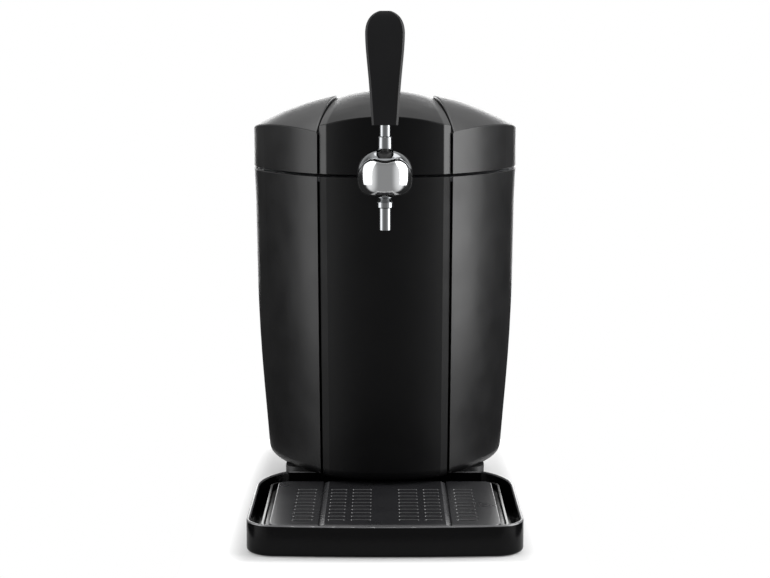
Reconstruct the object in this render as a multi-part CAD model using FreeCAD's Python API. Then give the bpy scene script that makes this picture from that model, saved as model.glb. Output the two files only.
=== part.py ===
"""Cooled dispenser for a five-litre mini keg, built as separate pieces.

The keg stands upright in an insulated aluminium cup inside the body and is
reached through a hinged lid.  A tap kit clips over the rim of the cup: gas
cartridge, regulator and coupler above the keg, and a chromed ball tap with a
pull handle in front of the body.  A thermoelectric unit behind the cup cools
it.  A drip tray with a slotted grid slides in under the tap.

Working frame: millimetres, keg axis on X = 0, Y = 0, front towards -Y, table
at Z = 0.  Pieces are moved along Y on export, so that the origin lies under
the middle of the whole dispenser.
"""
import FreeCAD, Part
import math
import os

Vector = FreeCAD.Vector

# --------------------------------------------------------------------------
# Driving dimensions
# --------------------------------------------------------------------------
# Body shell
BODY_WIDTH = 270.6          # widest point, at the lid seam
BODY_FRONT = 147.0          # keg axis to the front face at the seam
BODY_REAR = 155.0           # keg axis to the rear face at the seam
BODY_BOTTOM = 33.0          # underside of the body above the table
BODY_TOP = 332.0            # top edge of the body, under the lid
BODY_WALL = 3.0
BODY_EDGE_RADIUS = 9.0      # rounding of the body's lower edge
BODY_BRIM_RADIUS = 0.9      # rounding of its upper edge, under the lid
FLOOR_LIP = 0.8             # lip of the shells under which the floor plate lies
BODY_TAPER = (              # share of the body's height, inset of the wall there
    (0.0, 14.3), (0.19, 9.8), (0.39, 5.4), (0.69, 2.3), (1.0, 0.0))

# Plan of the shell
PANEL_RADIUS = 130.0        # bow of the front panel
SHOULDER_INSET = 14.2       # shoulder point, inwards from the widest point
SHOULDER_Y = -50.0
SHOULDER_HEADING = 66.5     # direction of the wall there, degrees from +X
SIDE_FLAT_END = 30.0        # the sides run straight back to this Y
QUARTER_RADIUS = 200.0      # long curve towards the rear corner
QUARTER_HEADING = 120.0

# Front panel between its two grooves
GROOVE_TOP_X = 64.2         # centre of each groove at the seam
GROOVE_BOTTOM_X = 62.5      # and at the foot of the body
GROOVE_WIDTH = 2.4
GROOVE_DEPTH = 7.0
GROOVE_FLANGE = 2.5         # flange of the side shell that backs the groove
GROOVE_LAP = 12.0           # how far that flange reaches behind the panel
CHAMFER_WIDTH = 6.6         # facet along each side of the front panel
CHAMFER_DROP = 6.0

# Lid
LID_GAP = 2.6               # dark seam between body and lid
LID_WALL = 4.2
LID_DOME_RADIUS = 265.0
LID_DOME_Y = -12.0
LID_DOME_TOP = 410.9
LID_CREST_TOP = 411.2       # ridge of the middle band
LID_CREST_RADIUS = 150.0    # bow of the middle band across the lid
LID_FRONT_RADIUS = 525.0    # fall of the middle band towards the front
LID_REAR_RADIUS = 235.0     # and towards the rear
LID_BAND_HALF = 50.0        # half width of the middle band at the crest
LID_BAND_FADE_Y = -5.0      # the grooves close here
LID_GROOVE_DEPTH = 5.0
LID_CUP_RADIUS = 96.0       # hollow of the lid over the tap kit
LID_CUP_TOP = 374.0
LID_LINER_WALL = 2.0
LID_BOSSES = ((112.0, -20.0), (84.0, 96.0))
LID_BOSS_RADIUS = 4.5
LID_LINER_RECESS = 0.5      # liner and gasket sit this far inside the cover
LID_EDGE_ROUND = 1.6

# Keg and its cooling cup
KEG_RADIUS = 86.0
KEG_HEIGHT = 250.0
KEG_CLEARANCE = 3.0
LINER_WALL = 1.5
INSULATION = 14.0
FLOOR_INSULATION = 8.0
LINER_FLANGE = 9.5
DECK_THICKNESS = 4.4

# Thermoelectric unit behind the cup
COOLER_Z = 240.0
COLD_BLOCK_SIZE = 50.0
COLD_BLOCK_DEPTH = 9.5
PELTIER_SIZE = 40.0
PELTIER_THICKNESS = 3.8
SINK_SIZE = 60.0
SINK_BASE = 4.2
SINK_DEPTH = 18.2
SINK_FINS = 11
SINK_FIN_THICKNESS = 1.2
FAN_DEPTH = 15.0
FAN_RADIUS = 27.0
FAN_HUB_RADIUS = 10.0
FAN_SHAFT_RADIUS = 1.5
FAN_BLADES = 7
FAN_SCREW_SPACING = 50.0

# Rear panel
REAR_PANEL_HALF = 66.0
VENT_PITCH = 5.6
VENT_SLOT = 2.8
PORT_PAD_Z = 68.0
PORT_PAD_HEIGHT = 34.0
PORT_PAD_HALF = 46.0
PORT_FACE_INSET = 9.8       # the pad stands just proud of the tapering wall
INLET_X = -20.0
INLET_SIZE = (27.0, 19.6)
SWITCH_X = 24.0
SWITCH_SIZE = (19.4, 12.8)
ROCKER_TILT = 8.0

# Pedestal, base plate and feet
PEDESTAL_HALF = 101.0
PEDESTAL_FRONT = -70.0
PEDESTAL_REAR = 124.0
PEDESTAL_WALL = 3.0
PEDESTAL_CORNER = 14.0
FOOT_HEIGHT = 2.5
FOOT_RADIUS = 8.0
BASE_PLATE = 2.5
BOARD_STANDOFF = 4.0
BOARD_THICKNESS = 1.6
TONGUE_HALF = 84.0
TONGUE_FRONT = -262.0

# Drip tray and grid
TRAY_HALF = 126.4
TRAY_FRONT = -290.0
TRAY_BOW = 3.4              # the front edge bows forward by this much
TRAY_CORNER = 27.0
TRAY_SIDE_END = -132.0      # the sides curve inwards from here to the rear
TRAY_REAR_HALF = 98.5
TRAY_BOTTOM = 0.5
TRAY_TOP = 29.5
TRAY_WALL = 3.2
TRAY_FLOOR = 2.6
TRAY_LOWER_ROUND = 3.0
TRAY_RIM_ROUND = 1.4
TRAY_REAR_GAP = 1.2         # pushed in, the tray stops this far from the pedestal
GRID_HALF = 105.0
GRID_FRONT = -280.4
GRID_REAR = -112.0
GRID_CORNER = 10.0
GRID_TOP = 28.4
GRID_THICKNESS = 3.0
GRID_SKIRT = 5.4
GRID_SKIRT_WALL = 2.4
GRID_EDGE_ROUND = 0.8
GRID_SLOT_WIDTH = 5.0
GRID_SLOT_PITCH = 12.8
GRID_SLOT_FIRST_Y = -262.0
GRID_SLOT_ROWS = 10
GRID_SLOT_COLUMNS = ((75.5, 20.0), (44.5, 17.0), (22.0, 20.0))
GRID_GROOVE_X = 59.5
GRID_GROOVE_DEPTH = 1.8
LEDGE_HALF = 110.4          # inner face of the ledge round the grid
LEDGE_WALL = 2.0
LEDGE_TOP = 26.5
SEAT_HALF = 100.5           # inner edge of the seat that carries the grid

# Tap
TAP_REACH = 39.0            # ball centre in front of the front panel
TAP_Z = 338.6
BALL_RADIUS = 25.9
BALL_HALF_HEIGHT = 22.6
BONNET_SEAM = 11.8          # seam of the ball above its centre
BONNET_WALL = 4.8
SLOT_WIDTH = 15.6
SLOT_ANGLE = 55.0           # the lever slot opens this far forwards
PIVOT_LIFT = 9.0            # lever pivot above the ball's centre
PIVOT_RADIUS = 2.5
HUB_RADIUS = 12.6
TONGUE_LENGTH = 10.0
TONGUE_HALF_THICKNESS = 2.2
COLLAR_BOTTOM = 362.2
COLLAR_TOP = 373.4
COLLAR_RADIUS = 6.7
STEM_RADIUS = 5.2
STEM_STUD = 3.0
HANDLE_BOTTOM = 383.9
HANDLE_BEVEL = 2.0
HANDLE_GRIP_SECTIONS = (    # height above the handle's foot, half width, half depth
    (0.0, 12.2, 7.0), (21.4, 13.6, 7.4), (42.8, 15.2, 7.9), (64.2, 17.2, 8.5), (85.4, 18.3, 8.7))
HANDLE_CROWN_SECTIONS = (
    (85.4, 18.3, 8.7), (91.2, 17.5, 8.3), (96.0, 15.7, 7.5), (99.9, 12.9, 6.4),
    (102.7, 9.4, 5.1), (104.6, 5.1, 3.6))
NECK_RADIUS = 5.4
SPOUT_COLLAR_RADIUS = 7.7
SPOUT_COLLAR_BOTTOM = 306.7
SPOUT_RADIUS = 5.7
SPOUT_BOTTOM = 285.7
SHANK_RADIUS = 10.0
SHANK_BORE = 4.0
PLUNGER_LENGTH = 29.4       # it ends in the shank, in front of the lid
FLANGE_RADIUS = 18.0
FLANGE_THICKNESS = 3.4
NOTCH_CLEARANCE = 2.2

# Coupler, regulator and cartridge above the keg
COUPLER_RADIUS = 17.0
COUPLER_FLANGE_RADIUS = 26.0
COUPLER_TOP = 357.0
NOZZLE_LENGTH = 12.0
REGULATOR_RADIUS = 15.5
REGULATOR_Y = 36.0
REGULATOR_ENDS = (-12.0, 26.0)
CARTRIDGE_RADIUS = 10.9
CARTRIDGE_LENGTH = 88.0
SLEEVE_WALL = 2.2
SLEEVE_END = -76.0
KNOB_RADIUS = 15.0
KNOB_LENGTH = 13.0

# Hinge of the lid
HINGE_REACH = 6.0           # axis behind the rear face
HINGE_X = 38.0
KNUCKLE_RADIUS = 5.0
KNUCKLE_LENGTH = 12.0
HINGE_PIN_RADIUS = 2.2

# Fits
RUNNING_FIT = 0.05          # radial, shaft in bore
SEAT_GAP = 0.3              # between curved faces of separate pieces
PORT_FIT = 0.4              # width and height, inlet and switch in their openings
SCREW_RADIUS = 1.7
SCREW_HEAD_RADIUS = 3.2
SCREW_HEAD = 1.6
SCREW_CROSS = (3.6, 0.8, 0.9)   # length, width and depth of the driver's recess
REAR_SCREW_LENGTH = 7.0
LID_SCREW_LENGTH = 12.0
BASE_SCREW_LENGTH = 16.5

# --------------------------------------------------------------------------
# Derived places
# --------------------------------------------------------------------------
HALF_WIDTH = BODY_WIDTH / 2
LID_BOTTOM = BODY_TOP + LID_GAP
SEAM_Z = BODY_TOP + LID_GAP / 2
TAP_Y = -(BODY_FRONT + TAP_REACH)
PIVOT_Z = TAP_Z + PIVOT_LIFT
CAVITY_RADIUS = BALL_RADIUS - BONNET_WALL
NOTCH_RADIUS = SHANK_RADIUS + NOTCH_CLEARANCE
LINER_INNER = KEG_RADIUS + KEG_CLEARANCE
LINER_OUTER = LINER_INNER + LINER_WALL
JACKET_INNER = LINER_OUTER + SEAT_GAP
JACKET_OUTER = JACKET_INNER + INSULATION
BODY_FLOOR_TOP = BODY_BOTTOM + BODY_WALL
JACKET_BOTTOM = BODY_FLOOR_TOP + SEAT_GAP
LINER_FLOOR = JACKET_BOTTOM + FLOOR_INSULATION
KEG_SEAT = LINER_FLOOR + LINER_WALL
KEG_TOP = KEG_SEAT + KEG_HEIGHT
DECK_TOP = BODY_TOP - 0.6
DECK_BOTTOM = DECK_TOP - DECK_THICKNESS
DECK_HOLE = LINER_INNER + LINER_FLANGE / 2
LINER_TOP = DECK_BOTTOM
BASE_TOP = FOOT_HEIGHT + BASE_PLATE
HINGE_Y = BODY_REAR + HINGE_REACH
COLD_BLOCK_END = LINER_OUTER + COLD_BLOCK_DEPTH
PELTIER_END = COLD_BLOCK_END + PELTIER_THICKNESS
SINK_END = PELTIER_END + SINK_DEPTH
FAN_END = SINK_END + FAN_DEPTH
FRONT_CENTRE_Y = PANEL_RADIUS - BODY_FRONT
LID_DOME_CENTRE_Z = LID_DOME_TOP - LID_DOME_RADIUS
COUPLER_BOTTOM = KEG_TOP + 0.7
PORT_FACE_Y = BODY_REAR - PORT_FACE_INSET
FLOOR_INSET = BODY_EDGE_RADIUS + BODY_TAPER[0][1] + FLOOR_LIP

parts = {}


# --------------------------------------------------------------------------
# Small geometry helpers
# --------------------------------------------------------------------------
def box(x0, x1, y0, y1, z0, z1):
    """Block between two corners."""
    return Part.makeBox(x1 - x0, y1 - y0, z1 - z0, Vector(x0, y0, z0))


def cylinder_x(radius, x0, x1, y, z):
    """Round bar along X."""
    return Part.makeCylinder(radius, x1 - x0, Vector(x0, y, z), Vector(1, 0, 0))


def cylinder_y(radius, y0, y1, x, z):
    """Round bar along Y."""
    return Part.makeCylinder(radius, y1 - y0, Vector(x, y0, z), Vector(0, 1, 0))


def cylinder_z(radius, z0, z1, x=0.0, y=0.0):
    """Round bar along Z."""
    return Part.makeCylinder(radius, z1 - z0, Vector(x, y, z0))


def mirrored(shape):
    """The same shape on the other side of the dispenser's middle plane."""
    return shape.mirror(Vector(0, 0, 0), Vector(1, 0, 0))


def both_sides(shape):
    """Two separate solids, one on each side of the middle plane."""
    return Part.makeCompound([shape, mirrored(shape)])


def joined(shapes):
    """One solid from several that touch or overlap."""
    return shapes[0].multiFuse(shapes[1:]).removeSplitter()


def polygon_prism(points, z0, z1):
    """Upright prism over a polygon given as (x, y) points."""
    corners = [Vector(x, y, z0) for x, y in points]
    face = Part.Face(Part.makePolygon(corners + corners[:1]))
    return face.extrude(Vector(0, 0, z1 - z0))


def turned(profile, x=0.0, y=0.0):
    """Solid of revolution about an upright axis, from (radius, z) points."""
    corners = [Vector(x + radius, y, z) for radius, z in profile]
    face = Part.Face(Part.makePolygon(corners + corners[:1]))
    return face.revolve(Vector(x, y, 0), Vector(0, 0, 1), 360)


def rounded_block(half, y0, y1, radius, z0, z1):
    """Upright block, symmetric about X = 0, with rounded upright edges."""
    block = box(-half, half, y0, y1, z0, z1)
    upright = [edge for edge in block.Edges
               if abs(edge.Vertexes[0].Point.z - edge.Vertexes[1].Point.z) > (z1 - z0) / 2]
    return block.makeFillet(radius, upright)


def keep(name, shape):
    """Record a finished piece under its node name."""
    parts[name] = shape


# --------------------------------------------------------------------------
# Plan of the shell: arcs that turn left, seen from above, from the groove on
# the right round to the middle of the rear face
# --------------------------------------------------------------------------
def heading_vector(degrees):
    """Outward normal of a wall that runs along this heading."""
    angle = math.radians(degrees)
    return Vector(math.sin(angle), -math.cos(angle), 0)


def shell_arcs():
    """Centre, radius and headings of the four arcs of the right-hand wall."""
    groove_x = GROOVE_TOP_X
    start = Vector(groove_x, FRONT_CENTRE_Y - math.sqrt(PANEL_RADIUS ** 2 - groove_x ** 2), 0)
    shoulder = Vector(HALF_WIDTH - SHOULDER_INSET, SHOULDER_Y, 0)
    chord = shoulder - start
    chord_heading = math.degrees(math.atan2(chord.y, chord.x))
    first_heading = 2 * chord_heading - SHOULDER_HEADING
    half_turn = math.radians((SHOULDER_HEADING - first_heading) / 2)
    front_radius = chord.Length / (2 * math.sin(half_turn))
    front_centre = shoulder - heading_vector(SHOULDER_HEADING) * front_radius
    side_radius = SHOULDER_INSET / (1 - math.sin(math.radians(SHOULDER_HEADING)))
    side_centre = shoulder - heading_vector(SHOULDER_HEADING) * side_radius
    quarter_centre = Vector(HALF_WIDTH - QUARTER_RADIUS, SIDE_FLAT_END, 0)
    quarter_end = quarter_centre + heading_vector(QUARTER_HEADING) * QUARTER_RADIUS
    corner_radius = (BODY_REAR - quarter_end.y) / (1 + math.cos(math.radians(QUARTER_HEADING)))
    corner_centre = quarter_end - heading_vector(QUARTER_HEADING) * corner_radius
    return ((front_centre, front_radius, first_heading, SHOULDER_HEADING),
            (side_centre, side_radius, SHOULDER_HEADING, 90.0),
            (quarter_centre, QUARTER_RADIUS, 90.0, QUARTER_HEADING),
            (corner_centre, corner_radius, QUARTER_HEADING, 180.0))


def groove_corner(inset):
    """Where the inset front curve meets the inset side curve, at the front."""
    centre, radius, _, _ = shell_arcs()[0]
    front = Vector(0, FRONT_CENTRE_Y, 0)
    front_radius = PANEL_RADIUS - inset
    side_radius = radius - inset
    between = centre - front
    distance = between.Length
    along = (distance ** 2 + front_radius ** 2 - side_radius ** 2) / (2 * distance)
    across = math.sqrt(front_radius ** 2 - along ** 2)
    unit = between * (1 / distance)
    normal = Vector(-unit.y, unit.x, 0)
    meetings = (front + unit * along + normal * across, front + unit * along - normal * across)
    return min(meetings, key=lambda point: point.y)


def outline(inset, z):
    """Closed wire of the shell's plan, moved inwards by inset, at height z."""
    corner = groove_corner(inset)
    lift = Vector(0, 0, z)
    right = []
    previous = corner
    for centre, radius, heading_from, heading_to in shell_arcs():
        reach = radius - inset
        start = previous if previous is corner else centre + heading_vector(heading_from) * reach
        if previous is not corner and start.distanceToPoint(previous) > 1e-6:
            right.append(Part.makeLine(previous + lift, start + lift))
        if start is corner:
            radial = start - centre
            heading_from = math.degrees(math.atan2(radial.x, -radial.y))
        middle = centre + heading_vector((heading_from + heading_to) / 2) * reach
        end = centre + heading_vector(heading_to) * reach
        right.append(Part.Arc(start + lift, middle + lift, end + lift).toShape())
        previous = end
    rear = Part.makeLine(previous + lift, Vector(-previous.x, previous.y, z))
    left = [mirrored(edge) for edge in reversed(right)]
    nose = Vector(0, FRONT_CENTRE_Y - PANEL_RADIUS + inset, z)
    front = Part.Arc(Vector(-corner.x, corner.y, z), nose, corner + lift).toShape()
    return Part.Wire([front] + right + [rear] + left)


def outline_prism(inset, z0, z1):
    """Upright prism over the inset plan."""
    return Part.Face(outline(inset, z0)).extrude(Vector(0, 0, z1 - z0))


def taper(z):
    """Inset of the body's wall at height z."""
    share = (z - BODY_BOTTOM) / (BODY_TOP - BODY_BOTTOM)
    for (low, low_inset), (high, high_inset) in zip(BODY_TAPER, BODY_TAPER[1:]):
        if share <= high:
            break
    return low_inset + (high_inset - low_inset) * (share - low) / (high - low)


def section_heights(bottom):
    """Heights of the sections that shape the wall above its rounded edge."""
    heights = [BODY_BOTTOM + share * (BODY_TOP - BODY_BOTTOM) for share, _ in BODY_TAPER]
    return [bottom] + [z for z in heights if z > bottom + BODY_EDGE_RADIUS]


def rounded_taper(section, extra, bottom, edge_radius):
    """Tapering solid with a rounded lower edge.

    section(inset, z) gives its outline; extra moves the whole wall inwards.
    """
    rounding = []
    for degrees in (0, 30, 60, 90):
        angle = math.radians(degrees)
        z = bottom + edge_radius * (1 - math.cos(angle))
        rounding.append(section(extra + edge_radius * (1 - math.sin(angle)) + taper(z), z))
    lower = Part.makeLoft(rounding, True, False)
    wall = [section(extra + taper(z), z) for z in section_heights(bottom + edge_radius)]
    return lower.fuse(Part.makeLoft(wall, True, False))


def outside_brim(section):
    """What the rounding of the upper edge takes off a wall with that outline."""
    rounding = []
    for degrees in (0, 30, 60, 90):
        angle = math.radians(degrees)
        z = BODY_TOP - BODY_BRIM_RADIUS * (1 - math.sin(angle))
        rounding.append(section(taper(z) + BODY_BRIM_RADIUS * (1 - math.cos(angle)), z))
    layer = box(-2 * HALF_WIDTH, 2 * HALF_WIDTH, -2 * BODY_FRONT, 2 * BODY_REAR,
                BODY_TOP - BODY_BRIM_RADIUS, BODY_TOP + 1)
    return layer.cut(Part.makeLoft(rounding, True, False))


def straight_taper(extra, bottom):
    """Tapering solid with a sharp lower edge."""
    wall = [outline(extra + taper(z), z) for z in section_heights(bottom)]
    return Part.makeLoft(wall, True, False)


def groove_x(z):
    """Half distance between the middles of the two grooves at height z."""
    share = (z - BODY_BOTTOM) / (BODY_TOP - BODY_BOTTOM)
    return GROOVE_BOTTOM_X + share * (GROOVE_TOP_X - GROOVE_BOTTOM_X)


def beside_groove(offset, z0=0.0, z1=BODY_TOP + 1):
    """Everything in the front half further out than the groove line plus offset."""
    far = 2 * HALF_WIDTH
    corners = [Vector(groove_x(z0) + offset, -far, z0), Vector(far, -far, z0),
               Vector(far, -far, z1), Vector(groove_x(z1) + offset, -far, z1)]
    face = Part.Face(Part.makePolygon(corners + corners[:1]))
    return face.extrude(Vector(0, far, 0))


# --------------------------------------------------------------------------
# Body shells
# --------------------------------------------------------------------------
def panel_plan(inset, z):
    """Half widths and depths of the front panel's flat and chamfers at height z."""
    side = groove_x(z) - GROOVE_WIDTH / 2
    flat = side - CHAMFER_WIDTH
    flat_y = FRONT_CENTRE_Y - math.sqrt((PANEL_RADIUS - inset) ** 2 - flat ** 2)
    return side, flat, flat_y, flat_y + CHAMFER_DROP


def panel_section(inset, z):
    """Closed wire of the front panel's cross section."""
    side, flat, flat_y, side_y = panel_plan(inset, z)
    nose_y = FRONT_CENTRE_Y - PANEL_RADIUS + inset
    back_flat = flat - BODY_WALL / 2
    back_y = flat_y + BODY_WALL
    edge_y = side_y + BODY_WALL

    def line(x0, y0, x1, y1):
        return Part.makeLine(Vector(x0, y0, z), Vector(x1, y1, z))

    def arc(half, y, middle_y, direction):
        return Part.Arc(Vector(-direction * half, y, z), Vector(0, middle_y, z),
                        Vector(direction * half, y, z)).toShape()

    return Part.Wire([
        arc(flat, flat_y, nose_y, 1),
        line(flat, flat_y, side, side_y),
        line(side, side_y, side, edge_y),
        line(side, edge_y, back_flat, back_y),
        arc(back_flat, back_y, nose_y + BODY_WALL, -1),
        line(-back_flat, back_y, -side, edge_y),
        line(-side, edge_y, -side, side_y),
        line(-side, side_y, -flat, flat_y)])


def behind_panel(gap):
    """Room taken by the front panel near the seam, with a gap behind it."""
    side, flat, flat_y, side_y = panel_plan(0.0, BODY_TOP)
    nose_y = -BODY_FRONT
    depth = BODY_WALL + gap
    far = nose_y - 20
    points = [Vector(-side, far, 0), Vector(side, far, 0), Vector(side, side_y + depth, 0),
              Vector(flat - BODY_WALL / 2, flat_y + depth, 0)]
    edges = [Part.makeLine(a, b) for a, b in zip(points, points[1:])]
    last = points[-1]
    edges.append(Part.Arc(last, Vector(0, nose_y + depth, 0), Vector(-last.x, last.y, 0)).toShape())
    edges.append(Part.makeLine(Vector(-last.x, last.y, 0), Vector(-side, side_y + depth, 0)))
    edges.append(Part.makeLine(Vector(-side, side_y + depth, 0), points[0]))
    return Part.Face(Part.Wire(edges)).extrude(Vector(0, 0, BODY_TOP + 10))


def shank_notch(radius):
    """Round way for the tap's shank through the seam at the front."""
    return cylinder_y(radius, TAP_Y, 0, 0, TAP_Z)


def build_front_panel():
    """Bowed front panel with a chamfer along each groove."""
    panel = rounded_taper(panel_section, 0.0, BODY_BOTTOM, BODY_EDGE_RADIUS)
    panel = panel.cut(outside_brim(panel_section))
    keep("front_panel", panel.cut(shank_notch(NOTCH_RADIUS)).removeSplitter())


def build_body_shells():
    """Left and right side shells and the rear panel, from one tapered wall."""
    outer = rounded_taper(outline, 0.0, BODY_BOTTOM, BODY_EDGE_RADIUS).cut(outside_brim(outline))
    inner = rounded_taper(outline, BODY_WALL, BODY_FLOOR_TOP, BODY_EDGE_RADIUS - BODY_WALL)
    floor_hole = outline_prism(FLOOR_INSET, BODY_BOTTOM - 1, BODY_FLOOR_TOP + 0.5)
    skin = outer.cut(inner).cut(floor_hole)

    rear_zone = box(REAR_PANEL_HALF + 0.2, 2 * HALF_WIDTH, 0, 2 * BODY_REAR, 0, BODY_TOP + 1)
    wall = skin.common(beside_groove(GROOVE_WIDTH / 2).fuse(rear_zone))

    flange_top = DECK_BOTTOM - SEAT_GAP
    flange_bottom = BODY_FLOOR_TOP + SEAT_GAP
    shallow = straight_taper(GROOVE_DEPTH, flange_bottom)
    deep = straight_taper(GROOVE_DEPTH + GROOVE_FLANGE, flange_bottom)
    within_wall = straight_taper(BODY_WALL / 2, flange_bottom)
    past_return = beside_groove(GROOVE_WIDTH / 2 + GROOVE_FLANGE, 0, BODY_TOP + 1)
    lap_zone = beside_groove(-GROOVE_LAP, flange_bottom, flange_top).cut(past_return)
    return_zone = beside_groove(GROOVE_WIDTH / 2 + 0.1, flange_bottom, flange_top).cut(past_return)
    lap = shallow.cut(deep).common(lap_zone)
    side_return = within_wall.cut(deep).common(return_zone)
    shell = wall.fuse(lap.fuse(side_return)).removeSplitter()
    keep("right_side_shell", shell)
    keep("left_side_shell", mirrored(shell))

    panel = skin.common(box(-REAR_PANEL_HALF, REAR_PANEL_HALF, 0, 2 * BODY_REAR, 0, BODY_TOP + 1))
    pad = box(-PORT_PAD_HALF, PORT_PAD_HALF, PORT_FACE_Y - 7.0, PORT_FACE_Y,
              PORT_PAD_Z - PORT_PAD_HEIGHT / 2, PORT_PAD_Z + PORT_PAD_HEIGHT / 2)
    panel = panel.fuse(pad)
    keep("rear_panel", cut_rear_openings(panel))


def centred_block(x, z, width, height, y0, y1):
    """Block centred at (x, z), between two depths."""
    return box(x - width / 2, x + width / 2, y0, y1, z - height / 2, z + height / 2)


def cut_rear_openings(panel):
    """Fan vent, inlet, switch and screw holes of the rear panel."""
    tools = []
    near, far = BODY_REAR - 30, BODY_REAR + 10
    rows = int(FAN_RADIUS // VENT_PITCH)
    for row in range(-rows, rows + 1):
        offset = row * VENT_PITCH
        half = math.sqrt((FAN_RADIUS + 1) ** 2 - offset ** 2)
        z = COOLER_Z + offset
        tools.append(box(-half, half, near, far, z - VENT_SLOT / 2, z + VENT_SLOT / 2))
    for x, (width, height) in ((INLET_X, INLET_SIZE), (SWITCH_X, SWITCH_SIZE)):
        tools.append(centred_block(x, PORT_PAD_Z, width + PORT_FIT, height + PORT_FIT, near, far))
    for x, z in rear_screw_places():
        tools.append(cylinder_y(SCREW_RADIUS + RUNNING_FIT, near, far, x, z))
    return panel.cut(Part.makeCompound(tools)).removeSplitter()


def rear_screw_places():
    """Corners of the rear panel where its screws go."""
    x = REAR_PANEL_HALF - 8
    return [(sx * x, z) for sx in (-1, 1) for z in (BODY_TOP - 26, PORT_PAD_Z + 36)]


def rear_face_y(z):
    """Depth of the rear panel's outer face at height z."""
    return BODY_REAR - taper(z)


def screw_y(x, z, face_y, length):
    """Pan-head screw driven forwards through a face at face_y."""
    head = cylinder_y(SCREW_HEAD_RADIUS, face_y, face_y + SCREW_HEAD, x, z)
    shank = cylinder_y(SCREW_RADIUS, face_y - length, face_y, x, z)
    length, width, depth = SCREW_CROSS
    head_end = face_y + SCREW_HEAD
    cross = Part.makeCompound([
        centred_block(x, z, length, width, head_end - depth, head_end + 1),
        centred_block(x, z, width, length, head_end - depth, head_end + 1)])
    return head.fuse(shank).removeSplitter().cut(cross)


def build_rear_screws():
    """Screws that hold the rear panel."""
    screws = []
    for x, z in rear_screw_places():
        seat_y = rear_face_y(z + SCREW_HEAD_RADIUS) + SEAT_GAP
        screws.append(screw_y(x, z, seat_y, REAR_SCREW_LENGTH))
    keep("rear_panel_screws", Part.makeCompound(screws))


def build_floor_and_deck():
    """Floor plate of the body and the deck ring under the lid."""
    floor = outline_prism(FLOOR_INSET + 0.15, BODY_BOTTOM, BODY_FLOOR_TOP)
    keep("body_floor", floor.cut(front_floor_relief()))

    deck = outline_prism(BODY_WALL + SEAT_GAP + taper(DECK_BOTTOM), DECK_BOTTOM, DECK_TOP)
    deck = deck.cut(cylinder_z(DECK_HOLE, DECK_BOTTOM - 1, DECK_TOP + 1))
    deck = deck.cut(behind_panel(SEAT_GAP + taper(DECK_BOTTOM)))
    keep("top_deck", deck.cut(shank_notch(NOTCH_RADIUS)).removeSplitter())


def front_floor_relief():
    """Room for the front panel's lower edge in the floor plate."""
    _, _, flat_y, _ = panel_plan(BODY_EDGE_RADIUS + BODY_TAPER[0][1], BODY_BOTTOM)
    slot = box(-groove_x(BODY_BOTTOM) - GROOVE_WIDTH, groove_x(BODY_BOTTOM) + GROOVE_WIDTH,
               -2 * BODY_FRONT, flat_y + CHAMFER_DROP + BODY_WALL + 0.3,
               BODY_BOTTOM - 1, BODY_FLOOR_TOP + 1)
    return slot


# --------------------------------------------------------------------------
# Lid
# --------------------------------------------------------------------------
def crest_body(inset):
    """Solid under the arched surface of the lid's middle band."""
    crown = LID_CREST_RADIUS - inset
    half = LID_BAND_HALF * 1.5
    top = LID_CREST_TOP - inset
    foot = 300.0
    edge_z = top - crown + math.sqrt(crown ** 2 - half ** 2)
    face = Part.Face(Part.Wire([
        Part.Arc(Vector(-half, 0, edge_z), Vector(0, 0, top), Vector(half, 0, edge_z)).toShape(),
        Part.makeLine(Vector(half, 0, edge_z), Vector(half, 0, foot)),
        Part.makeLine(Vector(half, 0, foot), Vector(-half, 0, foot)),
        Part.makeLine(Vector(-half, 0, foot), Vector(-half, 0, edge_z))]))
    front_axis = Vector(0, 0, LID_CREST_TOP - LID_FRONT_RADIUS)
    rear_axis = Vector(0, 0, LID_CREST_TOP - LID_REAR_RADIUS)
    front = face.revolve(front_axis, Vector(1, 0, 0), 22)
    rear = face.revolve(rear_axis, Vector(1, 0, 0), -52)
    return front, rear


def dome_body(inset):
    """Ball whose upper side is the surface of the lid's wings."""
    centre = Vector(0, LID_DOME_Y, LID_DOME_CENTRE_Z)
    ball = Part.makeSphere(LID_DOME_RADIUS - inset, centre)
    return ball.rotate(centre, Vector(0, 0, 1), 90)


def band_prism(inset, narrower, z0, z1):
    """Middle band of the lid, with the front panel's bow and chamfers."""
    side, flat, flat_y, side_y = panel_plan(0.0, BODY_TOP)
    side -= narrower
    flat -= narrower / 2
    band = LID_BAND_HALF - narrower
    flat_y += inset
    side_y += inset
    rear = BODY_REAR - inset
    right = [Vector(flat, flat_y, z0), Vector(side, side_y, z0), Vector(band, LID_BAND_FADE_Y, z0),
             Vector(band, rear, z0)]
    edges = [Part.Arc(Vector(-flat, flat_y, z0), Vector(0, -BODY_FRONT + inset, z0), right[0]).toShape()]
    edges += [Part.makeLine(a, b) for a, b in zip(right, right[1:])]
    edges.append(Part.makeLine(right[-1], Vector(-band, rear, z0)))
    left = [Vector(-point.x, point.y, z0) for point in reversed(right)]
    edges += [Part.makeLine(a, b) for a, b in zip(left, left[1:])]
    return Part.Face(Part.Wire(edges)).extrude(Vector(0, 0, z1 - z0))


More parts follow.
